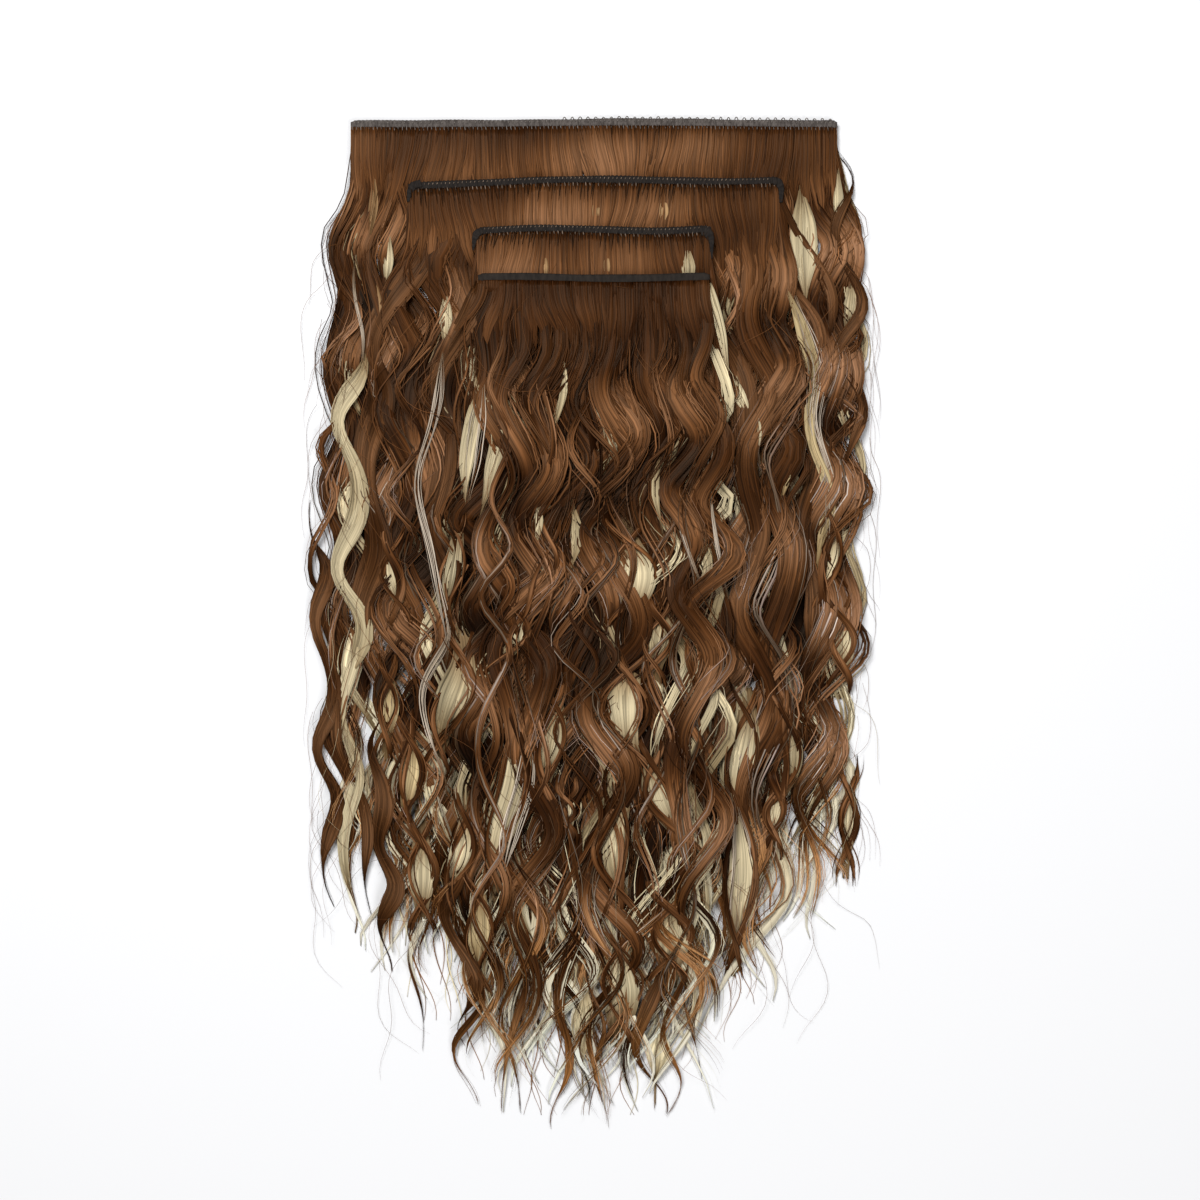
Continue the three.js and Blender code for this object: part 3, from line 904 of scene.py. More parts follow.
# Single locks that come up between the others: the weft, the place across and how far it drifts, where it
# shows from and to below the first track's top, its swing, one bulge towards +X, its wave length, its width,
# its layers, how high it comes up and its colour.
Lock = namedtuple("Lock", "weft place drift start end swing bulge period width layers rise colour")
LOCKS = [Lock(*row) for row in (
    (2, 1, 0, 45, 62, 0, 50, 90, 4.5, 2, 0.6, CARAMEL),
    (2, 40, 0, 45, 62, 0, 50, 90, 5.5, 2, 0.6, CARAMEL),
    (3, -28, 0, 80, 94, 0, 85, 90, 3.5, 2, 1.7, CARAMEL),
    (3, 7, 0, 78, 94, 0, 85, 90, 3.5, 2, 1.7, CARAMEL),
    (3, 53, 0, 74, 100, 0, 85, 90, 8, 3, 2.2, BLOND),
    (1, -139, 0, 134, 322, 8, 216, 81, 9.5, 6, 1.4, BLOND),
    (1, -140, -2, 290, 450, 5, 297, 81, 8, 5, 0.2, BLOND),
    (1, -136, 0, 84, 142, 3, 132, 90, 3, 4, 1, SILVER),
    (1, -119, -2, 66, 98, 1.5, 70, 90, 5.5, 2, 0.2, BLOND),
    (1, -126, 3, 92, 128, 2, 112, 80, 5, 3, 0, CARAMEL),
    (1, -128, -2, 28, 72, 2, 40, 90, 4.5, 3, -0.1, CARAMEL),
    (1, -114, 2, 250, 278, 3, 290, 70, 8, 3, 0.1, BLOND),
    (1, -118, 0, 324, 352, 2, 330, 80, 6, 3, 0, STRAW),
    (1, -107, 0, 356, 396, 3.5, 370, 90, 7.5, 4, 0, STRAW),
    (2, -86, 4, 98, 132, 1, 104, 90, 6.5, 3, 0.2, BLOND),
    (2, -92, 0, 136, 308, 8.4, 294, 162, 8, 8, 2, SILVER),
    (2, -92, 0, 286, 376, 8.4, 294, 86, 7, 8, 1.6, SILVER),
    (4, -69, -3, 150, 222, 3, 150, 130, 8.5, 4, 0.6, BLOND),
    (4, -60, 0, 146, 224, 7, 191, 88, 7.5, 4, 0.8, BLOND),
    (4, -66, -3, 152, 222, 3, 150, 130, 12, 6, 1.6, SILVER),
    (4, -80, -6, 240, 282, 2, 238, 90, 8, 3, 0.3, BLOND),
    (4, -77, -16, 310, 358, 3, 310, 100, 14, 4, 0.5, BLOND),
    (4, -20, 0, 132, 184, 5, 147, 90, 3.5, 3, 0.8, BLOND),
    (4, -24, -45, 246, 276, 1, 250, 90, 6, 3, 2.2, BLOND),
    (4, -12, 0, 222, 256, 3, 238, 70, 6, 3, 2.2, BLOND),
    (4, -33, -4, 218, 246, 2, 230, 80, 4.5, 2, 2, BLOND),
    (4, 20, 0, 244, 278, 2, 262, 70, 18, 5, 0.4, BLOND),
    (4, 38, 0, 198, 232, 3, 253, 80, 6, 3, 2, BLOND),
    (4, 48, 20, 216, 266, 2, 290, 110, 3, 5, 2.4, SILVER),
    (4, 66, 14, 210, 270, 2, 200, 110, 3, 5, 2.4, SILVER),
    (4, 67, 0, 184, 210, 2, 190, 90, 8, 6, 0.4, SILVER),
    (3, 62, 22, 82, 150, 3, 100, 110, 4.5, 3, 0.6, BLOND),
    (3, 80, 60, 148, 172, 1, 150, 90, 6, 2, 0.6, BLOND),
    (3, 92, 0, 166, 194, 3, 180, 70, 4, 2, 0.5, BLOND),
    (3, 106, 2, 190, 218, 2, 200, 90, 8, 3, 0.2, STRAW),
    (2, 113, 18, 96, 262, 6, 130, 95, 7.5, 4, 1.2, STRAW),
    (2, 116, 18, 100, 250, 6, 130, 95, 9, 8, 1.3, SILVER),
    (1, 119, 4, 36, 104, 1, 60, 90, 12, 5, 0.2, BLOND),
    (1, 141, 8, 36, 200, 8, 103, 66, 6, 5, 1.2, BROWN),
    (1, 106, 32, 30, 130, 3, 90, 90, 5, 4, 1, BROWN),
    (1, 140, 3, 28, 66, 1, 40, 90, 5, 2, 0.2, BLOND),
    (1, 146, 0, 92, 124, 2.5, 100, 80, 7, 2, 0.1, BLOND),
    (1, 136, 0, 136, 164, 2, 150, 80, 8, 2, 0.2, STRAW),
    (1, 136, -10, 236, 270, 2, 236, 90, 6, 2, 0.2, BLOND),
    (1, 142, 0, 286, 314, 2, 300, 80, 9, 3, 0.2, BLOND),
    (1, 147, -2, 388, 420, 1, 390, 80, 7, 2, 0.1, BLOND),
    (4, -42, -50, 286, 306, 1, 290, 90, 6, 2, 0.4, BLOND),
    (4, -24, -4, 338, 380, 3, 340, 80, 10, 3, 0.3, BLOND),
    (4, -45, -10, 346, 430, 3, 372, 120, 12, 3, 0.4, BLOND),
    (4, -40, -10, 350, 436, 3, 372, 120, 11, 10, 1.7, SILVER),
    (4, -100, 6, 414, 452, 2, 420, 90, 10, 3, 0.3, BLOND),
    (4, -74, -16, 402, 440, 3, 400, 90, 9, 3, 0.4, BLOND),
    (4, -67, 3, 444, 488, 2, 455, 90, 10, 3, 0.2, STRAW),
    (4, 37, 0, 288, 312, 2, 280, 80, 11, 3, 0.3, BLOND),
    (4, 19, 0, 318, 360, 3, 380, 90, 20, 5, 0.5, BLOND),
    (4, 56, 0, 316, 348, 3, 375, 80, 6, 2, 0.4, BLOND),
    (4, 32, 40, 370, 406, 1, 370, 90, 10, 3, 0.3, BLOND),
    (4, 14, 0, 392, 444, 6, 463, 90, 12, 4, 0.5, BLOND),
    (4, 85, -6, 342, 396, 3, 345, 110, 12, 3, 0.5, BLOND),
    (4, 82, 0, 394, 474, 2, 430, 120, 11.5, 5, 0.5, BLOND),
    (4, 82, 0, 392, 476, 2, 430, 120, 14, 10, 1.7, SILVER),
    (4, 109, 0, 342, 384, 6, 362, 90, 7, 3, 0.5, BLOND),
    (4, 103, 0, 386, 410, 2, 380, 80, 7, 2, 0.3, BLOND),
    (4, 43, 0, 452, 482, 1.5, 466, 80, 15, 5, 0.3, BLOND),
    (4, -16, 0, 390, 404, 1, 390, 80, 7, 2, 0.2, BLOND),
    (4, 15, 0, 476, 518, 1.5, 500, 80, 15, 5, 0.3, BLOND),
    (4, 36, 0, 522, 552, 1.5, 530, 80, 12, 3, -0.4, PALE),
    (4, -7, 2, 496, 543, 2, 510, 90, 10, 3, -0.4, PALE),
    (2, -98, -30, 56, 310, 5, 160, 84, 15, 6, -0.6, BROWN),
    (3, -66, -22, 84, 280, 5, 190, 86, 13, 6, -0.6, BROWN),
    (3, 66, 22, 96, 300, 5, 150, 86, 13, 6, -0.8, BROWN),
    (2, 100, 26, 56, 310, 5, 120, 80, 13, 6, -0.8, BROWN),
    (4, -71, 0, 494, 550, 9, 500, 76, 3.5, 3, 0.2, BROWN),
    (4, -46, 0, 512, 554, 6, 570, 100, 3.5, 3, 0.2, BROWN),
    (4, -42, -10, 488, 554, 4, 484, 130, 4, 3, 0.3, BROWN),
    (4, -18, 0, 504, 562, 6.5, 538, 76, 4.5, 4, 0.3, BROWN),
    (4, 31, 0, 484, 554, 10, 490, 80, 7, 5, 0.4, BROWN),
    (4, 50, -10, 486, 556, 8, 478, 80, 3.5, 3, 0.4, BROWN),
    (4, -2, 8, 484, 562, 4.5, 519, 66, 2, 2, 0.6, BROWN),
    (4, 53, 14, 502, 534, 2, 540, 90, 2.5, 2, 0.5, BROWN),
    (1, -104, 6, 478, 518, 3, 520, 90, 2.5, 2, 0.3, BROWN),
    (1, -162, 9, 238, 434, 6, 328, 68, 8, 4, 0.2, BROWN),
    (1, -150, 20, 330, 442, 2.5, 400, 70, 6, 3, 0.8, BROWN),
    (1, -125, 6, 352, 472, 4.5, 441, 52, 9, 4, 0.8, BROWN),
    (4, -84, 14, 425, 515, 8, 492, 62, 8, 4, 0.8, BROWN),
)]
LOCK_DIVE = 20.0  # how far a lock goes on at each end, out of sight under the others
LOCK_STEPS = ((60.0, 24), (200.0, 40), (400.0, 84))  # points for locks that show up to so far
LOCK_TAPER = 26.0
DRIFT_END = 90.0
SWAY_LENGTH = 110.0
BURY = 8.0  # how deep a lock's ends go
LOCK_FLOOR = 1.2  # no lock lies lower than this
FRAMED_FROM = 225.0
FRAMED_LENGTH = 90.0
FRAMED_WIDTH = 5.0
FRAMED_TINTS = (BLOND, STRAW, CARAMEL)
WINDOW = 1.3  # how much wider a fair lock is where brown strands frame it
FRAME_DIVE = 22.0  # how far the brown strands beside a fair lock go on past its ends
FRAME_STEPS = 28
DEEP_BROWN = BROWN * 0.7
FAIR_BLUE = 0.05  # colours with more blue than this are fair
AMBER_TIPS = (500.0, 550.0)


def framed(lock):
    """Short fair locks are seen between two brown strands."""
    short = lock.start > FRAMED_FROM and lock.end - lock.start < FRAMED_LENGTH
    return short and lock.width >= FRAMED_WIDTH and any(lock.colour is tint for tint in FRAMED_TINTS)


def lock_middle(number, lock, from_top, angle):
    """The line that a lock waves along."""
    sway = lock.swing * (0.85 + 0.3 * waver(from_top, SWAY_LENGTH, number))
    return lock.place + lock.drift * smooth(0.0, DRIFT_END, from_top - lock.start) + sway * np.cos(angle)


def lock_hair(number, lock, kind):
    """Paths, widths, colours and rolls of a lock's ribbons or tresses."""
    ribbon = kind == "ribbon"
    fair = lock.colour[2] > FAIR_BLUE
    shows = lock.end - lock.start
    count = lock.layers + (1 if ribbon else 2)
    width = lock.width * (WINDOW if framed(lock) else 1.0)
    u = np.linspace(-0.75, 0.75, count)[:, None] if ribbon else column(-1.1, 1.1, count)
    v = np.linspace(-0.6, 0.6, count)[:, None] if ribbon else column(-0.2, 1.0, count)
    first = lock.start - LOCK_DIVE * column(0.7, 1.0, count)
    last = lock.end + LOCK_DIVE * column(0.7, 1.0, count)
    steps = next(points for longest, points in LOCK_STEPS if shows < longest)
    from_top = first + (last - first) * shares(steps)
    angle = (from_top - lock.bulge) / lock.period * TURN
    angle = angle + scatter(0.0 if ribbon else 0.12, count)
    middle = lock_middle(number, lock, from_top, angle)
    middle = middle + (0.1 if ribbon else 0.4) * waver(from_top, 70.0, 9.0 * u)
    slope = np.gradient(middle, axis=1) / np.gradient(from_top, axis=1)
    length = np.sqrt(1.0 + slope * slope)
    past_start = from_top - lock.start
    before_end = lock.end - from_top
    shown = smooth(-LOCK_DIVE, LOCK_DIVE / 2, past_start) * smooth(-LOCK_DIVE, LOCK_DIVE / 2, before_end)
    twist = 0.3 * np.sin(angle + number)
    taper = min(LOCK_TAPER, 0.55 * shows)
    lens = smooth(-5.0, taper, past_start) * smooth(-5.0, taper, before_end)
    least = 0.6 if framed(lock) else 0.08
    breadth = (least + (1.0 - least) * lens) * (0.78 + 0.22 * np.cos(angle - 0.9))
    aside = u * np.cos(twist) * width / 2 * breadth
    x = middle + aside / length
    y = from_top - aside * slope / length
    z = hair_top(x, y) + lock.rise - 0.1 + 0.5 * np.sin(angle + number) + u * np.sin(twist) * width * 0.25
    z = np.maximum(z + v - 0.6 - BURY * (1.0 - shown), LOCK_FLOOR)
    wide = width * column(0.4, 0.65, count) if ribbon else column(0.25, 0.65, count)
    widths = wide * (breadth if ribbon else 0.15 + 0.85 * lens)
    rolls = twist * ROLL_SHARE + scatter(0.0 if ribbon else 0.3, count)
    # Painted sheen along the waves, and painted shade towards the ends where the lock goes under the others
    tone = scatter(0.08 if ribbon else 0.18, count)
    tone = tone + (0.2 if fair else 0.6) * np.sin(angle + number) - (0.7 if fair else 1.0) * (1.0 - lens)
    # Towards its ends fair hair also turns caramel, as painted shade
    if fair:
        colour = lock.colour + (CARAMEL - lock.colour) * (0.7 * (1.0 - lens) ** 1.5)[..., None]
    else:
        colour = DEEP_BROWN + (AMBER - DEEP_BROWN) * (0.8 * smooth(*AMBER_TIPS, from_top))[..., None]
    colours = with_streaks(toned(colour, tone, float(fair)), 0.65 if fair else 1.0)
    return placed(x, y, z), widths, colours, rolls


def frame_hair(number, lock, kind):
    """Two brown strands, one on each side of a fair lock, that cross where it begins and ends."""
    ribbon = kind == "ribbon"
    side = np.repeat((-1.0, 1.0), 2)[:, None]
    count = len(side)
    run = np.linspace(lock.start - FRAME_DIVE, lock.end + FRAME_DIVE, FRAME_STEPS)
    from_top = np.broadcast_to(run[None, :], (count, FRAME_STEPS))
    middle = lock_middle(number, lock, from_top, (from_top - lock.bulge) / lock.period * TURN)
    half_turn = (from_top - lock.start) / (lock.end - lock.start) * math.pi
    past = np.maximum(lock.start - from_top, 0.0) + np.maximum(from_top - lock.end, 0.0)
    gap = (WINDOW * lock.width / 2 + 0.6) * np.sin(np.clip(half_turn, -math.pi / 2, 1.5 * math.pi))
    stray = 0.8 if ribbon else 1.6
    x = middle + side * gap + scatter(stray, count)
    x = x + stray * waver(from_top, 60.0, column(0.0, TURN, count))
    shown = 1.0 - smooth(FRAME_DIVE * 0.3, FRAME_DIVE, past)
    z = hair_top(x, from_top) + lock.rise + 0.9 + 0.6 * side * np.cos(half_turn) + (0.0 if ribbon else 0.4)
    z = np.maximum(z - BURY * (1.0 - shown), LOCK_FLOOR)
    wide = column(1.3, 3.4, count) if ribbon else column(0.3, 0.8, count)
    widths = wide * (0.06 + 0.94 * shown)
    rolls = 0.35 * side * np.sin(half_turn) + scatter(0.1, count)
    # Painted shade where the strands go under past the lock's ends, and painted sheen and shade along them
    tone = scatter(0.25, count) - 0.8 * (1.0 - shown) - 0.3
    tone = tone + 0.8 * np.sin(half_turn * 1.3 + column(0.0, TURN, count))
    colours = with_streaks(toned(BROWN * np.ones((*x.shape, 1)), tone), 1.0)
    return placed(x, from_top, z), widths, colours, rolls


def add_locks(weft, kind, ring):
    """A weft's single locks and their frames, one piece for each number of points."""
    by_points = {}
    for number, lock in enumerate(LOCKS):
        if lock.weft != weft["name"]:
            continue
        if not (kind == "ribbon" and lock.colour is SILVER):
            part = lock_hair(number, lock, kind)
            by_points.setdefault(part[0].shape[1], []).append(part)
        if framed(lock):
            by_points.setdefault(FRAME_STEPS, []).append(frame_hair(number, lock, kind))
    for points, parts in by_points.items():
        joined = [np.concatenate(same) for same in zip(*parts)]
        add_hair(f"lock_{kind}_{points}", weft, ring, *joined)


for weft in WEFTS:
    add_locks(weft, "ribbon", RIBBON_RING)
    add_locks(weft, "tress", TRESS_RING)

# Stray hair
FLYAWAYS = 260
FLYAWAY_STEPS = 18
AT_SIDES = 0.6  # the share of stray hairs that stand off the two sides
ABOVE_TIPS = 0.85
AT_LEFT = 0.55
FAIR_FLYAWAYS = 0.03
FARTHEST_SIDE = 172.0
TIP_CURLS = 110
TIP_STEPS = 20
PALE_TIPS = 0.2
LOWEST_CURL = 574.0


def add_flyaways():
    """Single hairs that stand off the locks, most of them at the two sides and the tips."""
    count = FLYAWAYS
    kind = rng.random((count, 1))
    left = rng.random((count, 1)) < AT_LEFT
    edge = np.where(left, -1.0, 1.0) * column(120.0, 158.0, count)
    start_x = np.where(kind < AT_SIDES, edge, column(-120.0, 125.0, count))
    start_y = np.where(kind < ABOVE_TIPS, column(70.0, 400.0, count), column(400.0, 470.0, count))
    either = np.where(rng.random((count, 1)) < 0.5, -1.0, 1.0)
    outward = np.where(kind < AT_SIDES, np.sign(start_x), either)
    share = shares(FLYAWAY_STEPS)
    reach = column(35.0, 110.0, count)
    heading = scatter(0.35, count, 0.35) - column(0.3, 1.5, count) * share
    heading = heading + 0.35 * waver(share * reach, 60.0, column(0.0, TURN, count))
    pace = reach / (FLYAWAY_STEPS - 1)
    x = start_x + outward * np.cumsum(np.sin(heading) * pace, axis=1)
    y = start_y + np.cumsum(np.cos(heading) * pace, axis=1)
    over = np.maximum(np.abs(x).max(axis=1, keepdims=True) - FARTHEST_SIDE, 0.0)
    x = x - np.sign(x) * over * share
    y = y - np.maximum(y[:, -1:] - LOWEST, 0.0) * share
    z = hair_top(x, y) + 1.2 + 2.5 * np.sin(share * math.pi) * rng.random((count, 1))
    paths = placed(x, y, np.maximum(z, 0.6))
    widths = column(0.12, 0.2, count) * np.interp(share, (0.0, 0.7, 1.0), (1.0, 1.0, 0.3))
    fair = rng.random((count, 1)) < FAIR_FLYAWAYS
    colours = np.where(fair[..., None], BLOND * 0.7, BROWN * 1.3) * np.ones((count, FLYAWAY_STEPS, 1))
    colours = with_streaks(colours, 1.0)
    add_hair("flyaways", WEFTS[0], TRESS_RING, paths, widths, colours)


def add_tip_curls():
    """Thin wavy hairs that hang out of the tips, brown, amber and pale."""
    count = TIP_CURLS
    across = column(-1.0, 1.0, count)
    start_x = -4.0 + 118.0 * across
    start_y = 500.0 - 92.0 * across**2 - column(0.0, 45.0, count)
    share = shares(TIP_STEPS)
    reach = np.minimum(column(50.0, 100.0, count), LOWEST_CURL - start_y)
    swing = column(3.0, 7.0, count)
    angle = share * reach / column(44.0, 72.0, count) * TURN + column(0.0, TURN, count)
    x = start_x * (1.0 - 0.1 * share) + swing * (0.4 + 0.6 * share) * np.sin(angle)
    y = start_y + share * reach
    z = np.maximum(hair_top(x, y) * (1.0 - share) * column(0.2, 0.9, count), LEAST_HEIGHT)
    widths = column(0.3, 0.9, count) * np.interp(share, (0.0, 0.5, 1.0), (0.8, 1.0, 0.25))
    pale = rng.random((count, 1, 1)) < PALE_TIPS
    brown = BROWN + (AMBER - BROWN) * (0.9 * share)[..., None]
    colours = with_streaks(np.where(pale, PALE, brown) * rng.uniform(0.7, 1.1, (count, 1, 1)), 0.5)
    add_hair("tip_curls", WEFTS[-1], TRESS_RING, placed(x, y, z), widths, colours)


add_flyaways()
add_tip_curls()

# Tracks: a ribbed band with stitches along both edges, loops on the first one and folded ends
BAND_RIB = 2.3
BAND_STEP = 0.76
BAND_RING = (
    (-0.5, 0.0), (-0.47, 0.34), (-0.36, 0.5), (-0.12, 0.46), (0.12, 0.46), (0.36, 0.5), (0.47, 0.34),
    (0.5, 0.0), (0.47, -0.34), (0.36, -0.5), (-0.36, -0.5), (-0.47, -0.34),
)
BAND_HEIGHT = {1: 5.6, 2: 5.2, 3: 5.0, 4: 5.4}
BAND_END = 6.0  # a band narrows this near its ends
STITCH = 2.4
STITCH_ROWS = ((-2.3, 0.0, (1.1, 1.7)), (1.2, STITCH / 2, (0.5, 0.8)))  # place, shift and half length
STITCH_POINTS = 5
THREAD_RADIUS = 0.3
THREAD_CORNERS = 5
THREAD_UP = UP + np.array([0.13, 0.07, 0.0])  # off every thread's direction


def track_middle(weft, x):
    """Points along the middle of a track's band."""
    low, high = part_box(f"track_{weft['name']}")
    y = top_y - weft["down"] - BAND_HEIGHT[weft["name"]] / 2 + ripple(weft, x)
    return np.stack([x + centre_x, y, np.full_like(x, (low.z + high.z) / 2 / MM)], axis=-1)


def band_rings(points, heights, thickness, ribs):
    """Rings of a flat band that runs along points, ribbed across."""
    along = np.gradient(points, axis=0)
    along[:, 2] = 0.0
    along /= np.linalg.norm(along, axis=1, keepdims=True)
    cross = np.cross(UP, along)
    travelled = np.concatenate([[0.0], np.cumsum(np.linalg.norm(np.diff(points, axis=0), axis=1))])
    rib = np.cos(travelled / BAND_RIB * TURN)
    rings = []
    for a, b in BAND_RING:
        tall = b * thickness + (ribs * rib if b > 0.3 else 0.0)
        wide = a * heights + (np.sign(a) * ribs * 0.8 * rib if abs(a) > 0.4 else 0.0)
        rings.append(points + cross * np.broadcast_to(wide, len(points))[:, None]
                     + UP * np.broadcast_to(tall, len(points))[:, None])
    return np.stack(rings, axis=1)[None]


def thread_rings(paths, radius):
    """Rings of round threads. paths is threads by points by 3."""
    side, top = sides_and_tops(directions(paths), THREAD_UP)
    radius = np.broadcast_to(radius, paths.shape[:2])[..., None]
    turns = np.arange(THREAD_CORNERS) / THREAD_CORNERS * TURN
    rings = [paths + radius * (math.cos(turn) * side + math.sin(turn) * top) for turn in turns]
    return np.stack(rings, axis=2)


def add_track_piece(name, rings, material, node):
    piece = loft(name, rings, material)
    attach(piece, "root")
    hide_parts(node)


CLOTH_STRETCH = 0.35  # the scale of the grain along Y and Z, with 1 along X
CLOTH_STOPS = (0.35, 0.68)


def cloth_material(name, dark, light, scale, roughness=0.75):
    """Sewn thread: light and dark along a fine rib, with a little noise."""
    material, tree, shader = new_material(name, roughness)
    shader.inputs["Specular IOR Level"].default_value = 0.2
    place = add_node(tree, "TexCoord", {}).outputs["Object"]
    noise = add_noise(tree, place, (scale, scale * CLOTH_STRETCH, scale * CLOTH_STRETCH), 3.0, "3D")
    ramp = add_node(tree, "ValToRGB", {"Fac": noise})
    for stop, position, colour in zip(ramp.color_ramp.elements, CLOTH_STOPS, (dark, light)):
        stop.position = position
        stop.color = (*colour, 1.0)
    tree.links.new(ramp.outputs["Color"], shader.inputs["Base Color"])
    add_bump(tree, shader, noise, 0.6)
    return material


pale_cloth = cloth_material("track_pale", (0.045, 0.036, 0.031), (0.115, 0.098, 0.088), 900.0)
dark_cloth = cloth_material("track_dark", (0.006, 0.004, 0.003), (0.017, 0.012, 0.009), 900.0)
plain_cloth = cloth_material("track_plain", (0.009, 0.006, 0.004), (0.02, 0.0145, 0.0105), 500.0)
thread_dark = cloth_material("thread_dark", (0.07, 0.05, 0.036), (0.26, 0.19, 0.14), 1500.0)
thread_pale = cloth_material("thread_pale", (0.08, 0.068, 0.06), (0.24, 0.21, 0.185), 1500.0)

# The cloth, the thread and the depth of the ribs of each track
BAND_LOOK = {1: (pale_cloth, thread_pale, 0.14), 2: (dark_cloth, thread_dark, 0.3),
             3: (dark_cloth, thread_dark, 0.3), 4: (plain_cloth, thread_dark, 0.06)}


def add_band(weft, cloth, ribs):
    node = f"track_{weft['name']}"
    half = weft["track"] / 2
    across = np.linspace(-half, half, round(weft["track"] / BAND_STEP))
    tall = BAND_HEIGHT[weft["name"]] * (1.0 + 0.07 * np.sin(across / 19.0) + 0.05 * np.sin(across / 7.3))
    tall = tall * np.minimum(1.0, 0.55 + (half - np.abs(across)) / BAND_END)
    rings = band_rings(track_middle(weft, across), tall, TRACK_THICKNESS, ribs)
    add_track_piece(f"{node}_band", rings, cloth, node)


def add_stitches(weft, thread):
    """Two rows of stitches on a track's band."""
    node = f"track_{weft['name']}"
    half = weft["track"] / 2
    reach = np.linspace(-1.0, 1.0, STITCH_POINTS)
    stitches = []
    for row, shift, half_lengths in STITCH_ROWS:
        for place in np.arange(-half + 1.0, half - 1.0, STITCH) + shift:
            lean = rng.uniform(0.1, 0.4)
            stitch = track_middle(weft, place + reach * lean * np.sign(row))
            stitch[:, 1] += row + reach * rng.uniform(*half_lengths)
            stitch[:, 2] += TRACK_THICKNESS / 2 + 0.35 - 0.6 * reach**2
            stitches.append(stitch)
    radius = THREAD_RADIUS * np.sqrt(1.02 - reach**2)[None, :]
    add_track_piece(f"{node}_stitches", thread_rings(np.array(stitches), radius), thread, node)


for weft in WEFTS:
    cloth, thread, ribs = BAND_LOOK[weft["name"]]
    add_band(weft, cloth, ribs)
    if weft["name"] != TOP_WEFT:
        add_stitches(weft, thread)

# Loops of thread along the first track's top edge, over its right half
LOOP_PLACES = np.arange(-17.0, 139.0, 4.5)
LOOP_POINTS = 9
loops = []
for place in LOOP_PLACES:
    turn = np.linspace(0.0, math.pi, LOOP_POINTS)
    loop = track_middle(WEFTS[0], place - rng.uniform(0.7, 1.0) * np.cos(turn))
    loop[:, 1] += BAND_HEIGHT[1] / 2 - 0.3 + rng.uniform(0.8, 1.5) * np.sin(turn)
    loops.append(loop)
add_track_piece("track_1_loops", thread_rings(np.array(loops), THREAD_RADIUS), thread_pale, "track_1")

# Folded ends of the second and third track: the track, the side, points across from the middle and down from
# the first track's top, and the height at the start and at the end
TAILS = (
    (2, "left", ((-99.0, 38.0), (-103.5, 39.2), (-105.6, 42.6), (-106.6, 48.6)), 4.4, 1.4),
    (2, "right", ((101.5, 36.4), (105.8, 37.2), (107.4, 41.0), (107.2, 49.0)), 4.4, 1.8),
    (3, "left", ((-63.5, 66.0), (-66.8, 67.2), (-68.2, 70.6), (-69.0, 77.0)), 4.2, 1.0),
    (3, "right", ((60.0, 66.0), (65.0, 66.6), (67.0, 71.0), (67.4, 82.0)), 5.2, 0.6),
)
TAIL_POINTS = 44
TAIL_ROUNDS = 6  # how often the corners are smoothed
TAIL_THICKNESS = 1.1
TAIL_RIBS = 0.12


def add_tail(number, side, corners, height_start, height_end):
    fine = np.linspace(0.0, 1.0, TAIL_POINTS)
    at = np.linspace(0.0, 1.0, len(corners))
    x, y = (np.interp(fine, at, places) for places in zip(*corners))
    for line in (x, y):
        for _ in range(TAIL_ROUNDS):
            line[1:-1] = (line[:-2] + line[1:-1] * 2 + line[2:]) / 4
    low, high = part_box(f"track_{number}")
    heights = (high.z / MM + 0.2, high.z / MM + 0.6, (low.z + high.z) / 2 / MM + 1.0)
    z = np.interp(fine, (0.0, 0.4, 1.0), heights)
    points = np.stack([x + centre_x, top_y - y, z], axis=1)
    tall = np.interp(fine, (0.0, 0.5, 1.0), (height_start, height_start, height_end))
    rings = band_rings(points, tall, TAIL_THICKNESS, TAIL_RIBS)
    add_track_piece(f"track_{number}_tail_{side}", rings, dark_cloth, f"track_{number}")


for tail in TAILS:
    add_tail(*tail)

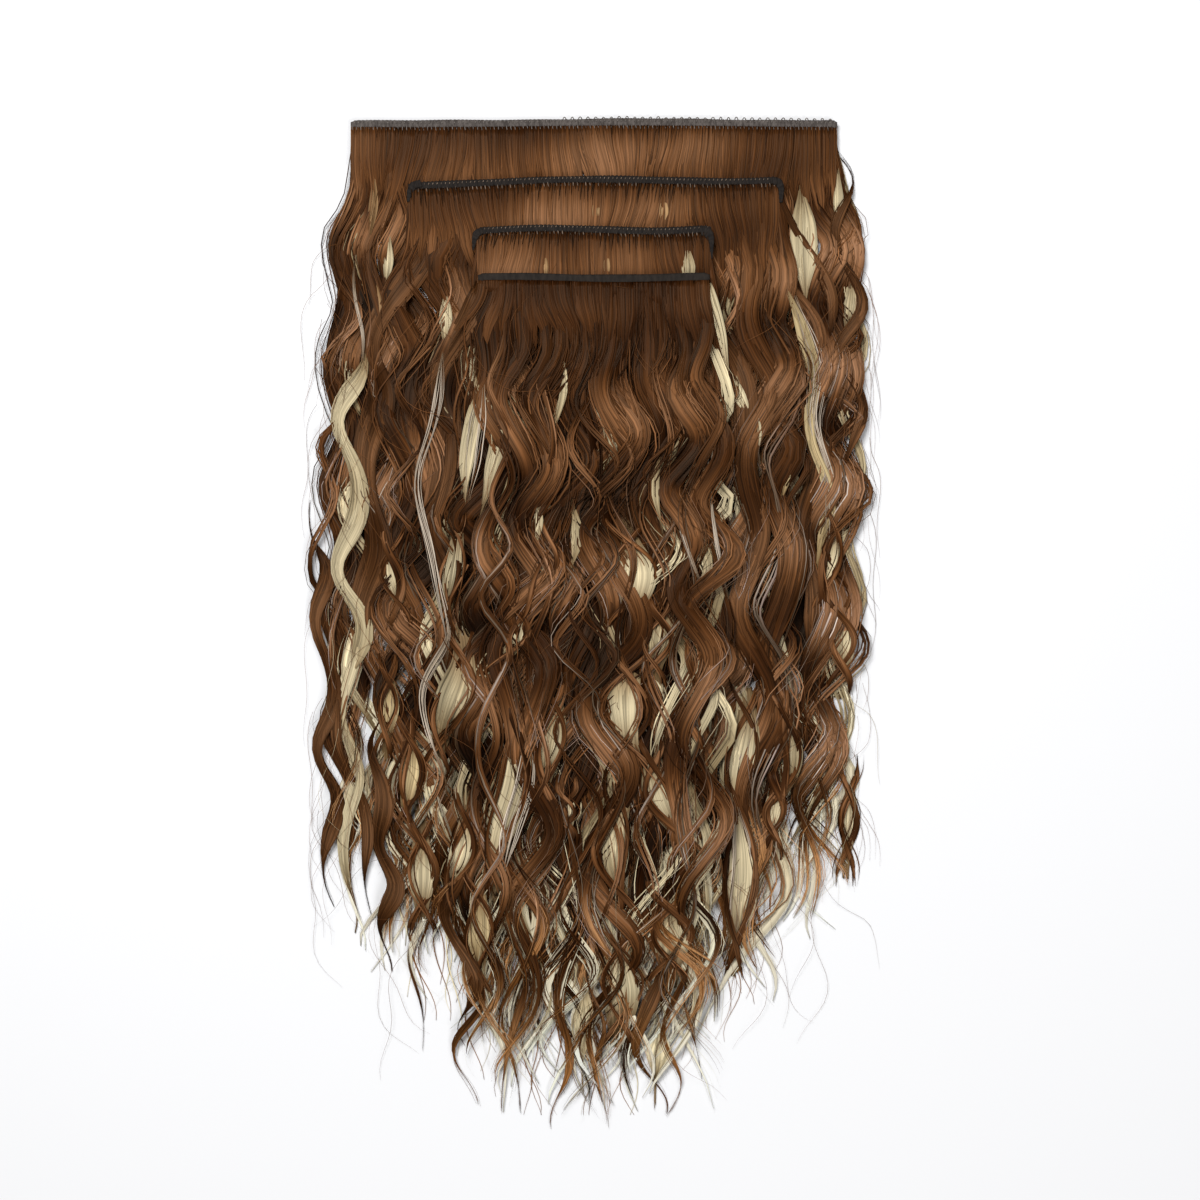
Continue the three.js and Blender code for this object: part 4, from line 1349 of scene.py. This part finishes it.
# Clips: dark lacquer, worn a little unevenly
clip_finish = cloth_material("clip_lacquer", (0.012, 0.009, 0.008), (0.03, 0.024, 0.02), 120.0, 0.35)
for name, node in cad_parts.items():
    if name.startswith("clip"):
        node.data.materials.clear()
        node.data.materials.append(clip_finish)

# Floor, light and camera
FLOOR_SIZE = 8.0
FLOOR_DOWN = 0.0004
WORLD_COLOUR = (0.96, 0.98, 1.0, 1.0)
WORLD_STRENGTH = 0.1

bpy.ops.mesh.primitive_plane_add(size=FLOOR_SIZE, location=(0.0, 0.0, -FLOOR_DOWN))
floor = bpy.context.active_object
floor.name = "floor"
floor_white, _, floor_shader = new_material("floor_white", 0.8)
floor_shader.inputs["Base Color"].default_value = (0.86, 0.86, 0.87, 1.0)
floor.data.materials.append(floor_white)

world = bpy.data.worlds.new("studio")
bpy.context.scene.world = world
world.use_nodes = True
world.node_tree.nodes["Background"].inputs["Color"].default_value = WORLD_COLOUR
world.node_tree.nodes["Background"].inputs["Strength"].default_value = WORLD_STRENGTH


def area_light(name, place, size, power):
    """A round lamp that shines on the origin."""
    light = bpy.data.lights.new(name, "AREA")
    light.shape = "DISK"
    light.size = size
    light.energy = power
    lamp = bpy.data.objects.new(name, light)
    lamp.location = place
    lamp.rotation_euler = (-Vector(place)).to_track_quat("-Z", "Y").to_euler()
    bpy.context.collection.objects.link(lamp)


area_light("key", (-0.45, 0.8, 2.1), 0.9, 50.0)
area_light("fill", (0.8, -0.9, 2.1), 1.2, 19.0)

bpy.context.scene.view_settings.view_transform = "Standard"

camera = bpy.data.cameras.new("camera")
camera.lens = 85.0
camera.sensor_width = 36.0
view = bpy.data.objects.new("camera", camera)
frame_side = PHOTO_SIZE * MM_PER_PIXEL * MM
middle_x = centre_x * MM + (PHOTO_SIZE / 2 - PHOTO_TRACK[0]) * MM_PER_PIXEL * MM
middle_y = top_y * MM - (PHOTO_SIZE / 2 - PHOTO_TRACK[1]) * MM_PER_PIXEL * MM
view.location = (middle_x, middle_y, frame_side * camera.lens / camera.sensor_width)
bpy.context.collection.objects.link(view)
bpy.context.scene.camera = view
